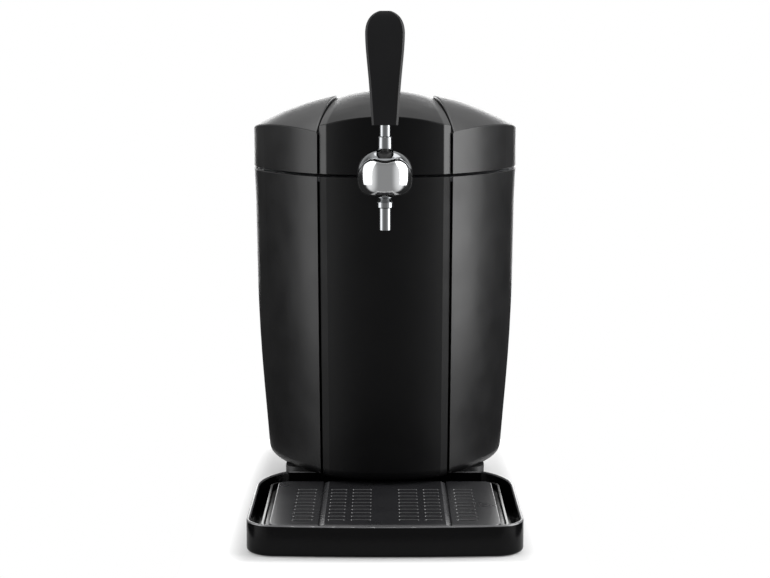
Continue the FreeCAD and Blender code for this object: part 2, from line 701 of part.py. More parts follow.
def wing_zone(narrower, z0, z1):
    """Everything beside the middle band on the right-hand side."""
    corner_x = GROOVE_TOP_X + GROOVE_WIDTH / 2 + narrower
    side_y = FRONT_CENTRE_Y - math.sqrt(PANEL_RADIUS ** 2 - GROOVE_TOP_X ** 2)
    inner = LID_BAND_HALF - 0.5 + narrower
    slope = (corner_x - inner) / (LID_BAND_FADE_Y - side_y)
    far_y = -2 * BODY_FRONT
    points = [(corner_x + slope * (side_y - far_y), far_y), (3 * HALF_WIDTH, far_y),
              (3 * HALF_WIDTH, 2 * BODY_REAR), (inner, 2 * BODY_REAR), (inner, LID_BAND_FADE_Y)]
    return polygon_prism(points, z0, z1)


def lid_volume(inset, narrower, z0):
    """Wings and middle band of the lid, moved inwards by inset."""
    top = LID_CREST_TOP + 10
    side = outline_prism(inset, z0, top).common(dome_body(inset))
    wing = side.common(wing_zone(narrower, z0, top))
    front, rear = crest_body(inset)
    band = band_prism(inset, narrower, z0, top)
    band_front = band.common(box(-HALF_WIDTH, HALF_WIDTH, -2 * BODY_FRONT, 0, z0, top)).common(front)
    band_rear = band.common(box(-HALF_WIDTH, HALF_WIDTH, 0, 2 * BODY_REAR, z0, top)).common(rear)
    return [wing, mirrored(wing), band_front, band_rear]


def rounded_lid_volume():
    """The lid's outer volume with its upper edges rounded, joint faces left alone."""
    wing, _, band_front, band_rear = lid_volume(0.0, 0.0, LID_BOTTOM)
    buried = box(0, LID_BAND_HALF + 1, LID_BAND_FADE_Y - 1, 2 * BODY_REAR, 0, LID_CREST_TOP + 1).BoundBox
    upper = [edge for edge in wing.Edges
             if edge.BoundBox.ZMin > LID_BOTTOM + 1 and not buried.isInside(edge.BoundBox)]
    wing = wing.makeFillet(LID_EDGE_ROUND, upper)
    upper = [edge for edge in band_front.Edges
             if edge.BoundBox.ZMin > LID_BOTTOM + 1 and edge.BoundBox.YMax < -1]
    band_front = band_front.makeFillet(LID_EDGE_ROUND, upper)
    return [wing, mirrored(wing), band_front, band_rear]


def lid_cavity(clearance, z0):
    """Hollow of the lid cover, or what fills it with a clearance."""
    inset = LID_WALL + clearance
    low = LID_GROOVE_DEPTH + 2.5 + clearance
    core = outline_prism(low, z0, LID_CREST_TOP).common(dome_body(low + 2.5))
    return joined(lid_volume(inset, inset, z0) + [core])


def lid_boss_places():
    """Where the lid's liner is screwed to the cover."""
    return [(sx * x, y) for x, y in LID_BOSSES for sx in (-1, 1)]


def lid_front_way(gap=0.0):
    """Arched way under the lid's front wall for the tap's shank."""
    radius = NOTCH_RADIUS + gap
    slot = box(-radius, radius, TAP_Y, 0, LID_BOTTOM - 10, TAP_Z)
    return slot.fuse(cylinder_y(radius, TAP_Y, 0, 0, TAP_Z))


def build_lid():
    """Lid cover, liner, insulation, gasket and screws."""
    core = outline_prism(LID_GROOVE_DEPTH, LID_BOTTOM, LID_CREST_TOP).common(dome_body(LID_GROOVE_DEPTH))
    outer = joined(rounded_lid_volume() + [core])
    cavity = lid_cavity(0.0, LID_BOTTOM - 1)
    cover = outer.cut(cavity)
    plate_bottom = LID_BOTTOM + LID_LINER_RECESS
    liner_top = plate_bottom + LID_LINER_WALL
    bosses = []
    drills = []
    for x, y in lid_boss_places():
        drop = (LID_DOME_RADIUS - LID_WALL / 2) ** 2 - x ** 2 - (y - LID_DOME_Y) ** 2
        boss_top = LID_DOME_CENTRE_Z + math.sqrt(drop)
        bosses.append(cylinder_z(LID_BOSS_RADIUS, liner_top + SEAT_GAP, boss_top, x, y))
        drills.append(cylinder_z(SCREW_RADIUS + RUNNING_FIT, LID_BOTTOM - 1, liner_top + 14, x, y))
    cover = joined([cover] + bosses).cut(Part.makeCompound(drills)).cut(lid_front_way())
    keep("lid_cover", cover)

    cup_outer = LID_CUP_RADIUS + LID_LINER_WALL
    plate = lid_cavity(SEAT_GAP, LID_BOTTOM - 1).common(
        box(-400, 400, -400, 400, plate_bottom, liner_top))
    cup = cylinder_z(cup_outer, plate_bottom, LID_CUP_TOP + LID_LINER_WALL)
    liner = plate.fuse(cup).cut(cylinder_z(LID_CUP_RADIUS, LID_BOTTOM - 5, LID_CUP_TOP))
    liner = liner.cut(Part.makeCompound(drills)).cut(lid_front_way()).removeSplitter()
    keep("lid_liner", liner)

    foam = lid_cavity(SEAT_GAP, LID_BOTTOM - 1).common(
        box(-400, 400, -400, 400, liner_top + SEAT_GAP, LID_CREST_TOP))
    foam = foam.cut(cylinder_z(cup_outer + SEAT_GAP, 0, LID_CUP_TOP + LID_LINER_WALL + SEAT_GAP))
    holes = [cylinder_z(LID_BOSS_RADIUS + SEAT_GAP, 0, LID_CREST_TOP, x, y) for x, y in lid_boss_places()]
    keep("lid_insulation", foam.cut(Part.makeCompound(holes)).cut(lid_front_way(SEAT_GAP)))

    gasket = cylinder_z(LID_CUP_RADIUS + 8, DECK_TOP + SEAT_GAP, plate_bottom)
    gasket = gasket.cut(cylinder_z(LID_CUP_RADIUS + 3, 0, LID_CREST_TOP))
    keep("lid_gasket", gasket.cut(lid_front_way()))

    screws = []
    for x, y in lid_boss_places():
        head = cylinder_z(SCREW_HEAD_RADIUS, plate_bottom - SCREW_HEAD, plate_bottom, x, y)
        shank = cylinder_z(SCREW_RADIUS, plate_bottom, plate_bottom + LID_SCREW_LENGTH, x, y)
        screws.append(head.fuse(shank).removeSplitter())
    keep("lid_screws", Part.makeCompound(screws))


def build_hinge():
    """Two hinges behind the seam: brackets, lid arms and pins."""
    far_half = KNUCKLE_LENGTH / 2
    arm = cylinder_x(KNUCKLE_RADIUS, HINGE_X - far_half, HINGE_X + far_half, HINGE_Y, SEAM_Z)
    arm_leaf = box(HINGE_X - far_half, HINGE_X + far_half, BODY_REAR + 0.05, HINGE_Y,
                   LID_BOTTOM + 0.4, LID_BOTTOM + 13)
    bore = cylinder_x(HINGE_PIN_RADIUS + RUNNING_FIT, 0, 2 * HINGE_X, HINGE_Y, SEAM_Z)
    lean = box(HINGE_X - far_half, HINGE_X + far_half, HINGE_Y, HINGE_Y + 20, LID_BOTTOM, LID_BOTTOM + 20)
    keep("lid_hinge_arms", both_sides(arm.fuse(arm_leaf.cut(lean)).cut(bore).removeSplitter()))

    knuckle = KNUCKLE_LENGTH * 0.55
    start = far_half + SEAT_GAP
    plate = box(HINGE_X - start - knuckle, HINGE_X + start + knuckle, BODY_REAR + 0.05, BODY_REAR + 2.6,
                BODY_TOP - 20, BODY_TOP - 0.4)
    swing = cylinder_x(KNUCKLE_RADIUS + 1.0, HINGE_X - start, HINGE_X + start, HINGE_Y, SEAM_Z)
    ears = []
    for side in (-1, 1):
        x0, x1 = sorted((HINGE_X + side * start, HINGE_X + side * (start + knuckle)))
        ears.append(cylinder_x(KNUCKLE_RADIUS, x0, x1, HINGE_Y, SEAM_Z))
        ears.append(box(x0, x1, BODY_REAR + 0.05, HINGE_Y + KNUCKLE_RADIUS - 0.5,
                        BODY_TOP - 7, BODY_TOP - 0.4))
    keep("hinge_brackets", both_sides(joined([plate.cut(swing)] + ears).cut(bore)))

    pin_half = start + knuckle + 0.6
    keep("hinge_pins", both_sides(cylinder_x(
        HINGE_PIN_RADIUS, HINGE_X - pin_half, HINGE_X + pin_half, HINGE_Y, SEAM_Z)))


# --------------------------------------------------------------------------
# Cup for the keg, its insulation and the cooling unit
# --------------------------------------------------------------------------
def build_cup():
    """Aluminium cup and the foam round it."""
    cup = cylinder_z(LINER_OUTER, LINER_FLOOR, LINER_TOP)
    rim = cylinder_z(LINER_INNER + LINER_FLANGE, LINER_TOP - LINER_WALL, LINER_TOP)
    cup = cup.fuse(rim).cut(cylinder_z(LINER_INNER, KEG_SEAT, LINER_TOP + 1))
    keep("keg_liner", cup.removeSplitter())

    foam_top = LINER_TOP - LINER_WALL - SEAT_GAP
    foam = cylinder_z(JACKET_OUTER, JACKET_BOTTOM, foam_top)
    foam = foam.cut(cylinder_z(JACKET_INNER, LINER_FLOOR - SEAT_GAP, foam_top + 1))
    block_room = centred_block(0, COOLER_Z, COLD_BLOCK_SIZE + 2 * SEAT_GAP, COLD_BLOCK_SIZE + 2 * SEAT_GAP,
                               JACKET_INNER / 2, JACKET_OUTER + 1)
    sink_room = centred_block(0, COOLER_Z, SINK_SIZE + 2 * SEAT_GAP, SINK_SIZE + 2 * SEAT_GAP,
                              COLD_BLOCK_END - SEAT_GAP, JACKET_OUTER + 1)
    keep("insulation_jacket", foam.cut(block_room.fuse(sink_room)).removeSplitter())


def build_cooler():
    """Cold block, thermoelectric module, heat sink and screws."""
    half = COLD_BLOCK_SIZE / 2
    block = centred_block(0, COOLER_Z, COLD_BLOCK_SIZE, COLD_BLOCK_SIZE,
                          LINER_OUTER / 2, COLD_BLOCK_END)
    screw_x = (PELTIER_SIZE + COLD_BLOCK_SIZE) / 4
    screw_places = [(sx * screw_x, COOLER_Z + sz * half / 2) for sx in (-1, 1) for sz in (-1, 1)]
    drills = Part.makeCompound([
        cylinder_y(1.0 + RUNNING_FIT, COLD_BLOCK_END - 6, PELTIER_END + SINK_BASE + 1, x, z)
        for x, z in screw_places])
    block = block.cut(cylinder_z(LINER_OUTER + SEAT_GAP, 0, BODY_TOP)).cut(drills)
    keep("cold_block", block)
    module = centred_block(0, COOLER_Z, PELTIER_SIZE, PELTIER_SIZE, COLD_BLOCK_END, PELTIER_END)
    keep("peltier_module", module)

    base_end = PELTIER_END + SINK_BASE
    sink = [centred_block(0, COOLER_Z, SINK_SIZE, SINK_SIZE, PELTIER_END, base_end)]
    pitch = (SINK_SIZE - SINK_FIN_THICKNESS) / (SINK_FINS - 1)
    for index in range(SINK_FINS):
        x = -SINK_SIZE / 2 + SINK_FIN_THICKNESS / 2 + index * pitch
        sink.append(centred_block(x, COOLER_Z, SINK_FIN_THICKNESS, SINK_SIZE, base_end, SINK_END))
    heads = Part.makeCompound([
        cylinder_y(2.6, base_end, SINK_END + 1, x, z) for x, z in screw_places])
    fan_posts = fan_screw_places()
    fan_drills = Part.makeCompound([
        cylinder_y(1.5 + RUNNING_FIT, base_end, SINK_END + 1, x, z) for x, z in fan_posts])
    posts = [cylinder_y(3.0, PELTIER_END + 1, SINK_END, x, z) for x, z in fan_posts]
    keep("heat_sink", joined(sink + posts).cut(drills).cut(heads).cut(fan_drills))
    keep("clamp_screws", Part.makeCompound([
        cylinder_y(1.0, COLD_BLOCK_END - 5.5, base_end, x, z).fuse(
            cylinder_y(2.2, base_end, base_end + 1.8, x, z)).removeSplitter()
        for x, z in screw_places]))


def fan_screw_places():
    """Corners of the fan where it is screwed to the heat sink."""
    reach = FAN_SCREW_SPACING / 2
    return [(sx * reach, COOLER_Z + sz * reach) for sx in (-1, 1) for sz in (-1, 1)]


def build_fan():
    """Fan frame with its motor spider, rotor and screws."""
    frame = centred_block(0, COOLER_Z, SINK_SIZE, SINK_SIZE, SINK_END, FAN_END)
    frame = frame.cut(cylinder_y(FAN_RADIUS + 1.2, SINK_END - 1, FAN_END + 1, 0, COOLER_Z))
    spider = [cylinder_y(FAN_HUB_RADIUS, FAN_END - 2.5, FAN_END, 0, COOLER_Z),
              cylinder_y(FAN_SHAFT_RADIUS, SINK_END + 1.5, FAN_END - 2, 0, COOLER_Z)]
    for turn in range(4):
        strut = box(FAN_HUB_RADIUS - 2, FAN_RADIUS + 3, FAN_END - 2, FAN_END,
                    COOLER_Z - 1.2, COOLER_Z + 1.2)
        spider.append(strut.rotate(Vector(0, 0, COOLER_Z), Vector(0, 1, 0), 45 + 90 * turn))
    drills = Part.makeCompound([
        cylinder_y(1.5 + RUNNING_FIT, SINK_END - 1, FAN_END + 1, x, z) for x, z in fan_screw_places()])
    keep("fan_frame", joined([frame] + spider).cut(drills))

    hub_start, hub_end = SINK_END + 1.0, FAN_END - 3.2
    hub = cylinder_y(FAN_HUB_RADIUS - 0.5, hub_start, hub_end, 0, COOLER_Z)
    blades = []
    for index in range(FAN_BLADES):
        blade = box(FAN_HUB_RADIUS - 1.5, FAN_RADIUS, -0.6, 0.6, -5.0, 5.0)
        blade.rotate(Vector(0, 0, 0), Vector(1, 0, 0), 52)
        blade.rotate(Vector(0, 0, 0), Vector(0, 1, 0), 360.0 * index / FAN_BLADES)
        blade.translate(Vector(0, (hub_start + hub_end) / 2, COOLER_Z))
        blades.append(blade)
    rotor = joined([hub] + blades).cut(
        cylinder_y(FAN_SHAFT_RADIUS + RUNNING_FIT, SINK_END, FAN_END, 0, COOLER_Z))
    keep("fan_rotor", rotor)
    keep("fan_screws", Part.makeCompound([
        cylinder_y(1.5, SINK_END - 8, FAN_END, x, z).fuse(
            cylinder_y(2.6, FAN_END, FAN_END + 1.6, x, z)).removeSplitter()
        for x, z in fan_screw_places()]))


# --------------------------------------------------------------------------
# Mains inlet and switch
# --------------------------------------------------------------------------
def build_ports():
    """Mains inlet, its pins, and the power switch in its frame."""
    width, height = INLET_SIZE
    body_depth = 20.0
    body = centred_block(INLET_X, PORT_PAD_Z, width, height, PORT_FACE_Y - body_depth, PORT_FACE_Y)
    flange = centred_block(INLET_X, PORT_PAD_Z, width + 5, height + 5, PORT_FACE_Y, PORT_FACE_Y + 2)
    well = centred_block(INLET_X, PORT_PAD_Z, width - 3.4, height - 3.4, PORT_FACE_Y - 14, PORT_FACE_Y + 5)
    pins = Part.makeCompound([
        centred_block(INLET_X + x, PORT_PAD_Z + z, 2.0, 4.0, PORT_FACE_Y - 17, PORT_FACE_Y - 3.0)
        for x, z in ((-7.0, -2.0), (0.0, 2.0), (7.0, -2.0))])
    keep("mains_inlet", body.fuse(flange).cut(well).cut(pins).removeSplitter())
    keep("inlet_pins", pins)

    width, height = SWITCH_SIZE
    frame = centred_block(SWITCH_X, PORT_PAD_Z, width, height, PORT_FACE_Y - 14, PORT_FACE_Y)
    bezel = centred_block(SWITCH_X, PORT_PAD_Z, width + 2.6, height + 2.6, PORT_FACE_Y, PORT_FACE_Y + 1.8)
    room = centred_block(SWITCH_X, PORT_PAD_Z, width - 3.0, height - 3.0, PORT_FACE_Y - 11, PORT_FACE_Y + 5)
    axle_y = PORT_FACE_Y - 2.0
    axle = cylinder_z(1.2, PORT_PAD_Z - height / 2 + 0.5, PORT_PAD_Z + height / 2 - 0.5, SWITCH_X, axle_y)
    keep("switch_frame", joined([frame, bezel]).cut(room).fuse(axle).removeSplitter())

    half = (width - 3.0) / 2 - 0.7
    lift = 2.6
    dip = lift - 2 * half * math.tan(math.radians(ROCKER_TILT)) / 2
    profile = [(-half, axle_y - 3.0), (half, axle_y - 3.0), (half, PORT_FACE_Y + lift),
               (0.0, PORT_FACE_Y + dip), (-half, PORT_FACE_Y + lift)]
    rocker = polygon_prism([(SWITCH_X + x, y) for x, y in profile],
                           PORT_PAD_Z - (height - 3.6) / 2, PORT_PAD_Z + (height - 3.6) / 2)
    rocker = rocker.common(cylinder_z(half + 0.45, 0, BODY_TOP, SWITCH_X, axle_y).fuse(
        box(SWITCH_X - half, SWITCH_X + half, axle_y, BODY_REAR, 0, BODY_TOP)))
    rocker = rocker.cut(cylinder_z(1.2 + RUNNING_FIT, 0, BODY_TOP, SWITCH_X, axle_y))
    keep("switch_rocker", rocker)


# --------------------------------------------------------------------------
# Pedestal, base plate, feet and power board
# --------------------------------------------------------------------------
def base_screw_places():
    """Where the base plate is screwed to the pedestal."""
    x = PEDESTAL_HALF - 14
    return [(sx * x, y) for sx in (-1, 1) for y in (PEDESTAL_FRONT + 14, PEDESTAL_REAR - 14)]


def build_base():
    """Pedestal, base plate with its tongue under the tray, feet and screws."""
    outer = rounded_block(PEDESTAL_HALF, PEDESTAL_FRONT, PEDESTAL_REAR, PEDESTAL_CORNER,
                          BASE_TOP, BODY_BOTTOM)
    inner = rounded_block(PEDESTAL_HALF - PEDESTAL_WALL, PEDESTAL_FRONT + PEDESTAL_WALL,
                          PEDESTAL_REAR - PEDESTAL_WALL, PEDESTAL_CORNER - PEDESTAL_WALL,
                          BASE_TOP - 1, BODY_BOTTOM - PEDESTAL_WALL)
    bosses = [cylinder_z(5.0, BASE_TOP, BODY_BOTTOM - 1, x, y) for x, y in base_screw_places()]
    drill_top = FOOT_HEIGHT + BASE_SCREW_LENGTH + 2
    drills = [cylinder_z(SCREW_RADIUS + RUNNING_FIT, 0, drill_top, x, y) for x, y in base_screw_places()]
    keep("pedestal", joined([outer.cut(inner)] + bosses).cut(Part.makeCompound(drills)))

    plate = rounded_block(PEDESTAL_HALF - 1, PEDESTAL_FRONT + 1, PEDESTAL_REAR - 1, PEDESTAL_CORNER - 1,
                          FOOT_HEIGHT, BASE_TOP)
    tongue = rounded_block(TONGUE_HALF, TONGUE_FRONT, PEDESTAL_FRONT + 30, 12.0, FOOT_HEIGHT, BASE_TOP)
    posts = [cylinder_z(3.0, BASE_TOP, BASE_TOP + BOARD_STANDOFF, x, y) for x, y in board_post_places()]
    keep("base_plate", joined([plate, tongue] + posts).cut(Part.makeCompound(drills)))

    screws = []
    for x, y in base_screw_places():
        head = cylinder_z(SCREW_HEAD_RADIUS, FOOT_HEIGHT - SCREW_HEAD, FOOT_HEIGHT, x, y)
        shank = cylinder_z(SCREW_RADIUS, FOOT_HEIGHT, FOOT_HEIGHT + BASE_SCREW_LENGTH, x, y)
        screws.append(head.fuse(shank).removeSplitter())
    keep("base_screws", Part.makeCompound(screws))

    feet = []
    for x, y in ((TONGUE_HALF - 12, TONGUE_FRONT + 14), (PEDESTAL_HALF - 32, PEDESTAL_REAR - 14)):
        foot = turned([(0, 0), (FOOT_RADIUS - 1, 0), (FOOT_RADIUS, FOOT_HEIGHT), (0, FOOT_HEIGHT)], x, y)
        feet += [foot, mirrored(foot)]
    keep("rubber_feet", Part.makeCompound(feet))


def board_post_places():
    """Stand-offs that carry the power board."""
    return [(sx * 44.0, y) for sx in (-1, 1) for y in (12.0, 78.0)]


def build_power_board():
    """Board of the mains supply and the larger parts on it."""
    board_bottom = BASE_TOP + BOARD_STANDOFF
    board_top = board_bottom + BOARD_THICKNESS
    keep("power_board", box(-50, 50, 6, 84, board_bottom, board_top))
    transformer = box(-20, 12, 28, 56, board_top, board_top + 15)
    mains_capacitor = cylinder_z(7.5, board_top, board_top + 16, 30, 36)
    output_capacitor = cylinder_z(5.0, board_top, board_top + 14, -34, 60)
    cooling_plate = box(18, 42, 60, 62, board_top, board_top + 15)
    terminal = box(-44, -26, 10, 20, board_top, board_top + 10)
    keep("board_components", Part.makeCompound(
        [transformer, mains_capacitor, output_capacitor, cooling_plate, terminal]))


# --------------------------------------------------------------------------
# Drip tray and grid
# --------------------------------------------------------------------------
def tray_outline(inset, z):
    """Plan of the drip tray: bowed front, straight sides, drawn-in rear corners."""
    half = TRAY_HALF - inset
    corner = TRAY_CORNER - inset
    front = TRAY_FRONT + inset
    corner_front = front + TRAY_BOW
    middle = corner * (1 - math.cos(math.radians(45)))
    rear = PEDESTAL_FRONT - TRAY_REAR_GAP
    narrowing = TRAY_HALF - TRAY_REAR_HALF
    radius = (narrowing ** 2 + (rear - TRAY_SIDE_END) ** 2) / (2 * narrowing)

    def on_rear_curve(y):
        reach = math.sqrt((radius - inset) ** 2 - (y - TRAY_SIDE_END) ** 2)
        return Vector(TRAY_HALF - radius + reach, y, z)

    def arc(a, b, c):
        return Part.Arc(a, b, c).toShape()

    rear_corner = on_rear_curve(rear - inset)
    right = [
        arc(Vector(half - corner, corner_front, z), Vector(half - middle, corner_front + middle, z),
            Vector(half, corner_front + corner, z)),
        Part.makeLine(Vector(half, corner_front + corner, z), Vector(half, TRAY_SIDE_END, z)),
        arc(Vector(half, TRAY_SIDE_END, z), on_rear_curve((TRAY_SIDE_END + rear) / 2), rear_corner)]
    rear_line = Part.makeLine(rear_corner, Vector(-rear_corner.x, rear_corner.y, z))
    left = [mirrored(edge) for edge in reversed(right)]
    bow = arc(Vector(-(half - corner), corner_front, z), Vector(0, front, z),
              Vector(half - corner, corner_front, z))
    return Part.Wire([bow] + right + [rear_line] + left)


def build_tray():
    """Drip tray with a ledge that carries the grid."""
    height = TRAY_TOP - TRAY_BOTTOM
    outer = Part.Face(tray_outline(0.0, TRAY_BOTTOM)).extrude(Vector(0, 0, height))
    low_edges = [edge for edge in outer.Edges if edge.BoundBox.ZMax < TRAY_BOTTOM + 0.1]
    outer = outer.makeFillet(TRAY_LOWER_ROUND, low_edges)
    floor_bottom = BASE_TOP + 0.4
    floor_top = floor_bottom + TRAY_FLOOR
    well = Part.Face(tray_outline(TRAY_WALL, floor_top)).extrude(Vector(0, 0, height))
    tray = outer.cut(well)
    rim_edges = [edge for edge in tray.Edges
                 if edge.BoundBox.ZMin > TRAY_TOP - 0.1 and edge.BoundBox.ZMax < TRAY_TOP + 0.1]
    tray = tray.makeFillet(TRAY_RIM_ROUND, rim_edges)

    ledge_front = GRID_FRONT - SEAT_GAP - 0.2
    ledge_rear = GRID_REAR + 5.4
    ledge = rounded_block(LEDGE_HALF + LEDGE_WALL, ledge_front - LEDGE_WALL, ledge_rear + LEDGE_WALL,
                          GRID_CORNER + 5.4 + LEDGE_WALL, floor_top - 0.5, LEDGE_TOP)
    ledge = ledge.cut(rounded_block(LEDGE_HALF, ledge_front, ledge_rear, GRID_CORNER + 5.4,
                                    floor_top - 1, LEDGE_TOP + 1))
    seat_top = GRID_TOP - GRID_SKIRT
    seat = rounded_block(LEDGE_HALF + 0.5, ledge_front - 0.5, ledge_rear + 0.5, GRID_CORNER + 5,
                         floor_top - 0.5, seat_top)
    seat = seat.cut(rounded_block(SEAT_HALF, GRID_FRONT + 5, GRID_REAR - 5, GRID_CORNER - 3,
                                  floor_top - 1, seat_top + 1))
    tray = joined([tray, ledge, seat])
    tunnel = box(-TONGUE_HALF - 1.5, TONGUE_HALF + 1.5, TONGUE_FRONT - 3, PEDESTAL_FRONT + 10,
                 -1, floor_bottom)
    keep("drip_tray", tray.cut(tunnel))


def grid_slot(x, y, length, z0, z1):
    """One slot with round ends, along X."""
    end = length / 2 - GRID_SLOT_WIDTH / 2
    half = GRID_SLOT_WIDTH / 2
    return joined([box(x - end, x + end, y - half, y + half, z0, z1),
                   cylinder_z(half, z0, z1, x - end, y), cylinder_z(half, z0, z1, x + end, y)])


def build_grid():
    """Slotted grid with a skirt and two shallow grooves."""
    bottom = GRID_TOP - GRID_THICKNESS
    plate = rounded_block(GRID_HALF, GRID_FRONT, GRID_REAR, GRID_CORNER, GRID_TOP - GRID_SKIRT, GRID_TOP)
    top_edges = [edge for edge in plate.Edges if edge.BoundBox.ZMin > GRID_TOP - 0.1]
    plate = plate.makeFillet(GRID_EDGE_ROUND, top_edges)
    wall = GRID_SKIRT_WALL
    hollow = rounded_block(GRID_HALF - wall, GRID_FRONT + wall, GRID_REAR - wall, GRID_CORNER - wall,
                           GRID_TOP - GRID_SKIRT - 1, bottom)
    slots = []
    for row in range(GRID_SLOT_ROWS):
        y = GRID_SLOT_FIRST_Y + row * GRID_SLOT_PITCH
        for x, length in GRID_SLOT_COLUMNS:
            slot = grid_slot(x, y, length, bottom - 1, GRID_TOP + 1)
            slots += [slot, mirrored(slot)]
    low = GRID_TOP - GRID_GROOVE_DEPTH
    corners = [Vector(GRID_GROOVE_X - 4.5, GRID_FRONT - 1, GRID_TOP + 0.01),
               Vector(GRID_GROOVE_X, GRID_FRONT - 1, low), Vector(GRID_GROOVE_X + 1.2, GRID_FRONT - 1, low),
               Vector(GRID_GROOVE_X + 1.2, GRID_FRONT - 1, GRID_TOP + 0.01)]
    groove = Part.Face(Part.makePolygon(corners + corners[:1])).extrude(
        Vector(0, GRID_REAR - GRID_FRONT + 2, 0))
    tools = Part.makeCompound(slots + [groove, mirrored(groove)])
    keep("drip_grid", rocking_foot(plate.cut(hollow)).cut(tools))


def rocking_foot(grid):
    """The grid with a half-round foot under its rear skirt, on which it tips up."""
    radius = GRID_SKIRT_WALL / 2
    foot_z = GRID_TOP - GRID_SKIRT + radius
    straight = GRID_HALF - GRID_CORNER
    square = box(-GRID_HALF, GRID_HALF, GRID_REAR - GRID_SKIRT_WALL, GRID_REAR + 1,
                 foot_z - radius - 1, foot_z)
    foot = cylinder_x(radius, -straight, straight, GRID_REAR - radius, foot_z)
    return grid.cut(square).fuse(foot).removeSplitter()


# --------------------------------------------------------------------------
# Tap
# --------------------------------------------------------------------------
def tap_sphere(radius):
    """Sphere about the tap's centre."""
    return Part.makeSphere(radius, Vector(0, TAP_Y, TAP_Z))


def level_slab(z0, z1):
    """Everything round the tap between two heights."""
    return box(-60, 60, TAP_Y - 60, TAP_Y + 60, z0, z1)


def build_tap_body():
    """Chromed ball, its bonnet with the lever slot, spout and pivot pin."""
    shape = tap_sphere(BALL_RADIUS).common(level_slab(TAP_Z - BALL_HALF_HEIGHT, TAP_Z + BALL_HALF_HEIGHT))
    seam = TAP_Z + BONNET_SEAM
    cavity = tap_sphere(CAVITY_RADIUS).common(level_slab(TAP_Z - 9.0, TAP_Z + BALL_RADIUS))
    pin_bore = cylinder_x(PIVOT_RADIUS + RUNNING_FIT, -BALL_RADIUS + 2, BALL_RADIUS - 2, TAP_Y, PIVOT_Z)
    lower = shape.common(level_slab(0, seam - 0.15)).cut(cavity)
    lower = lower.cut(pin_bore)
    lower = lower.cut(cylinder_y(SHANK_RADIUS + RUNNING_FIT, TAP_Y + CAVITY_RADIUS - 1.5, 0, 0, TAP_Z))
    lower = lower.cut(cylinder_z(SHANK_BORE, TAP_Z - BALL_RADIUS, TAP_Z, 0, TAP_Y))
    keep("tap_ball", lower)

    slot_front = 2 * BALL_RADIUS
    slot = box(-SLOT_WIDTH / 2, SLOT_WIDTH / 2, TAP_Y - slot_front, TAP_Y + COLLAR_RADIUS + 1.0,
               TAP_Z, TAP_Z + 2 * BALL_RADIUS)
    limit = BALL_RADIUS * math.cos(math.radians(SLOT_ANGLE))
    slot = slot.common(level_slab(TAP_Z + limit, TAP_Z + 2 * BALL_RADIUS))
    bonnet = shape.common(level_slab(seam + 0.15, TAP_Z + BALL_RADIUS)).cut(cavity).cut(slot)
    keep("tap_bonnet", bonnet)

    keep("lever_pin", cylinder_x(PIVOT_RADIUS, -BALL_RADIUS + 2.6, BALL_RADIUS - 2.6, TAP_Y, PIVOT_Z))

    neck_top = TAP_Z - BALL_HALF_HEIGHT
    collar = turned([(SHANK_BORE, neck_top), (NECK_RADIUS, neck_top), (NECK_RADIUS + 0.6, neck_top - 1.4),
                     (SPOUT_COLLAR_RADIUS - 0.4, neck_top - 3.4), (SPOUT_COLLAR_RADIUS, neck_top - 4.2),
                     (SPOUT_COLLAR_RADIUS, SPOUT_COLLAR_BOTTOM + 0.8),
                     (SPOUT_COLLAR_RADIUS - 0.8, SPOUT_COLLAR_BOTTOM), (SHANK_BORE, SPOUT_COLLAR_BOTTOM)],
                    0, TAP_Y)
    keep("spout_collar", collar)
    tube = turned([(SHANK_BORE, SPOUT_COLLAR_BOTTOM), (SPOUT_RADIUS, SPOUT_COLLAR_BOTTOM),
                   (SPOUT_RADIUS, SPOUT_BOTTOM + 0.5), (SPOUT_RADIUS - 0.5, SPOUT_BOTTOM),
                   (SHANK_BORE + 0.4, SPOUT_BOTTOM), (SHANK_BORE, SPOUT_BOTTOM + 0.5)], 0, TAP_Y)
    keep("spout_tube", tube)


def handle_loft(sections):
    """Solid through bevelled cross sections of the handle."""
    rings = []
    for rise, half, depth in sections:
        bevel = min(HANDLE_BEVEL, depth / 2, half / 2)
        ring = [(half - bevel, -depth), (half, -depth + bevel),
                (half, depth - bevel), (half - bevel, depth)]
        ring += [(-x, y) for x, y in reversed(ring)]
        corners = [Vector(x, TAP_Y + y, HANDLE_BOTTOM + rise) for x, y in ring]
        rings.append(Part.makePolygon(corners + corners[:1]))
    return Part.makeLoft(rings, True, False)


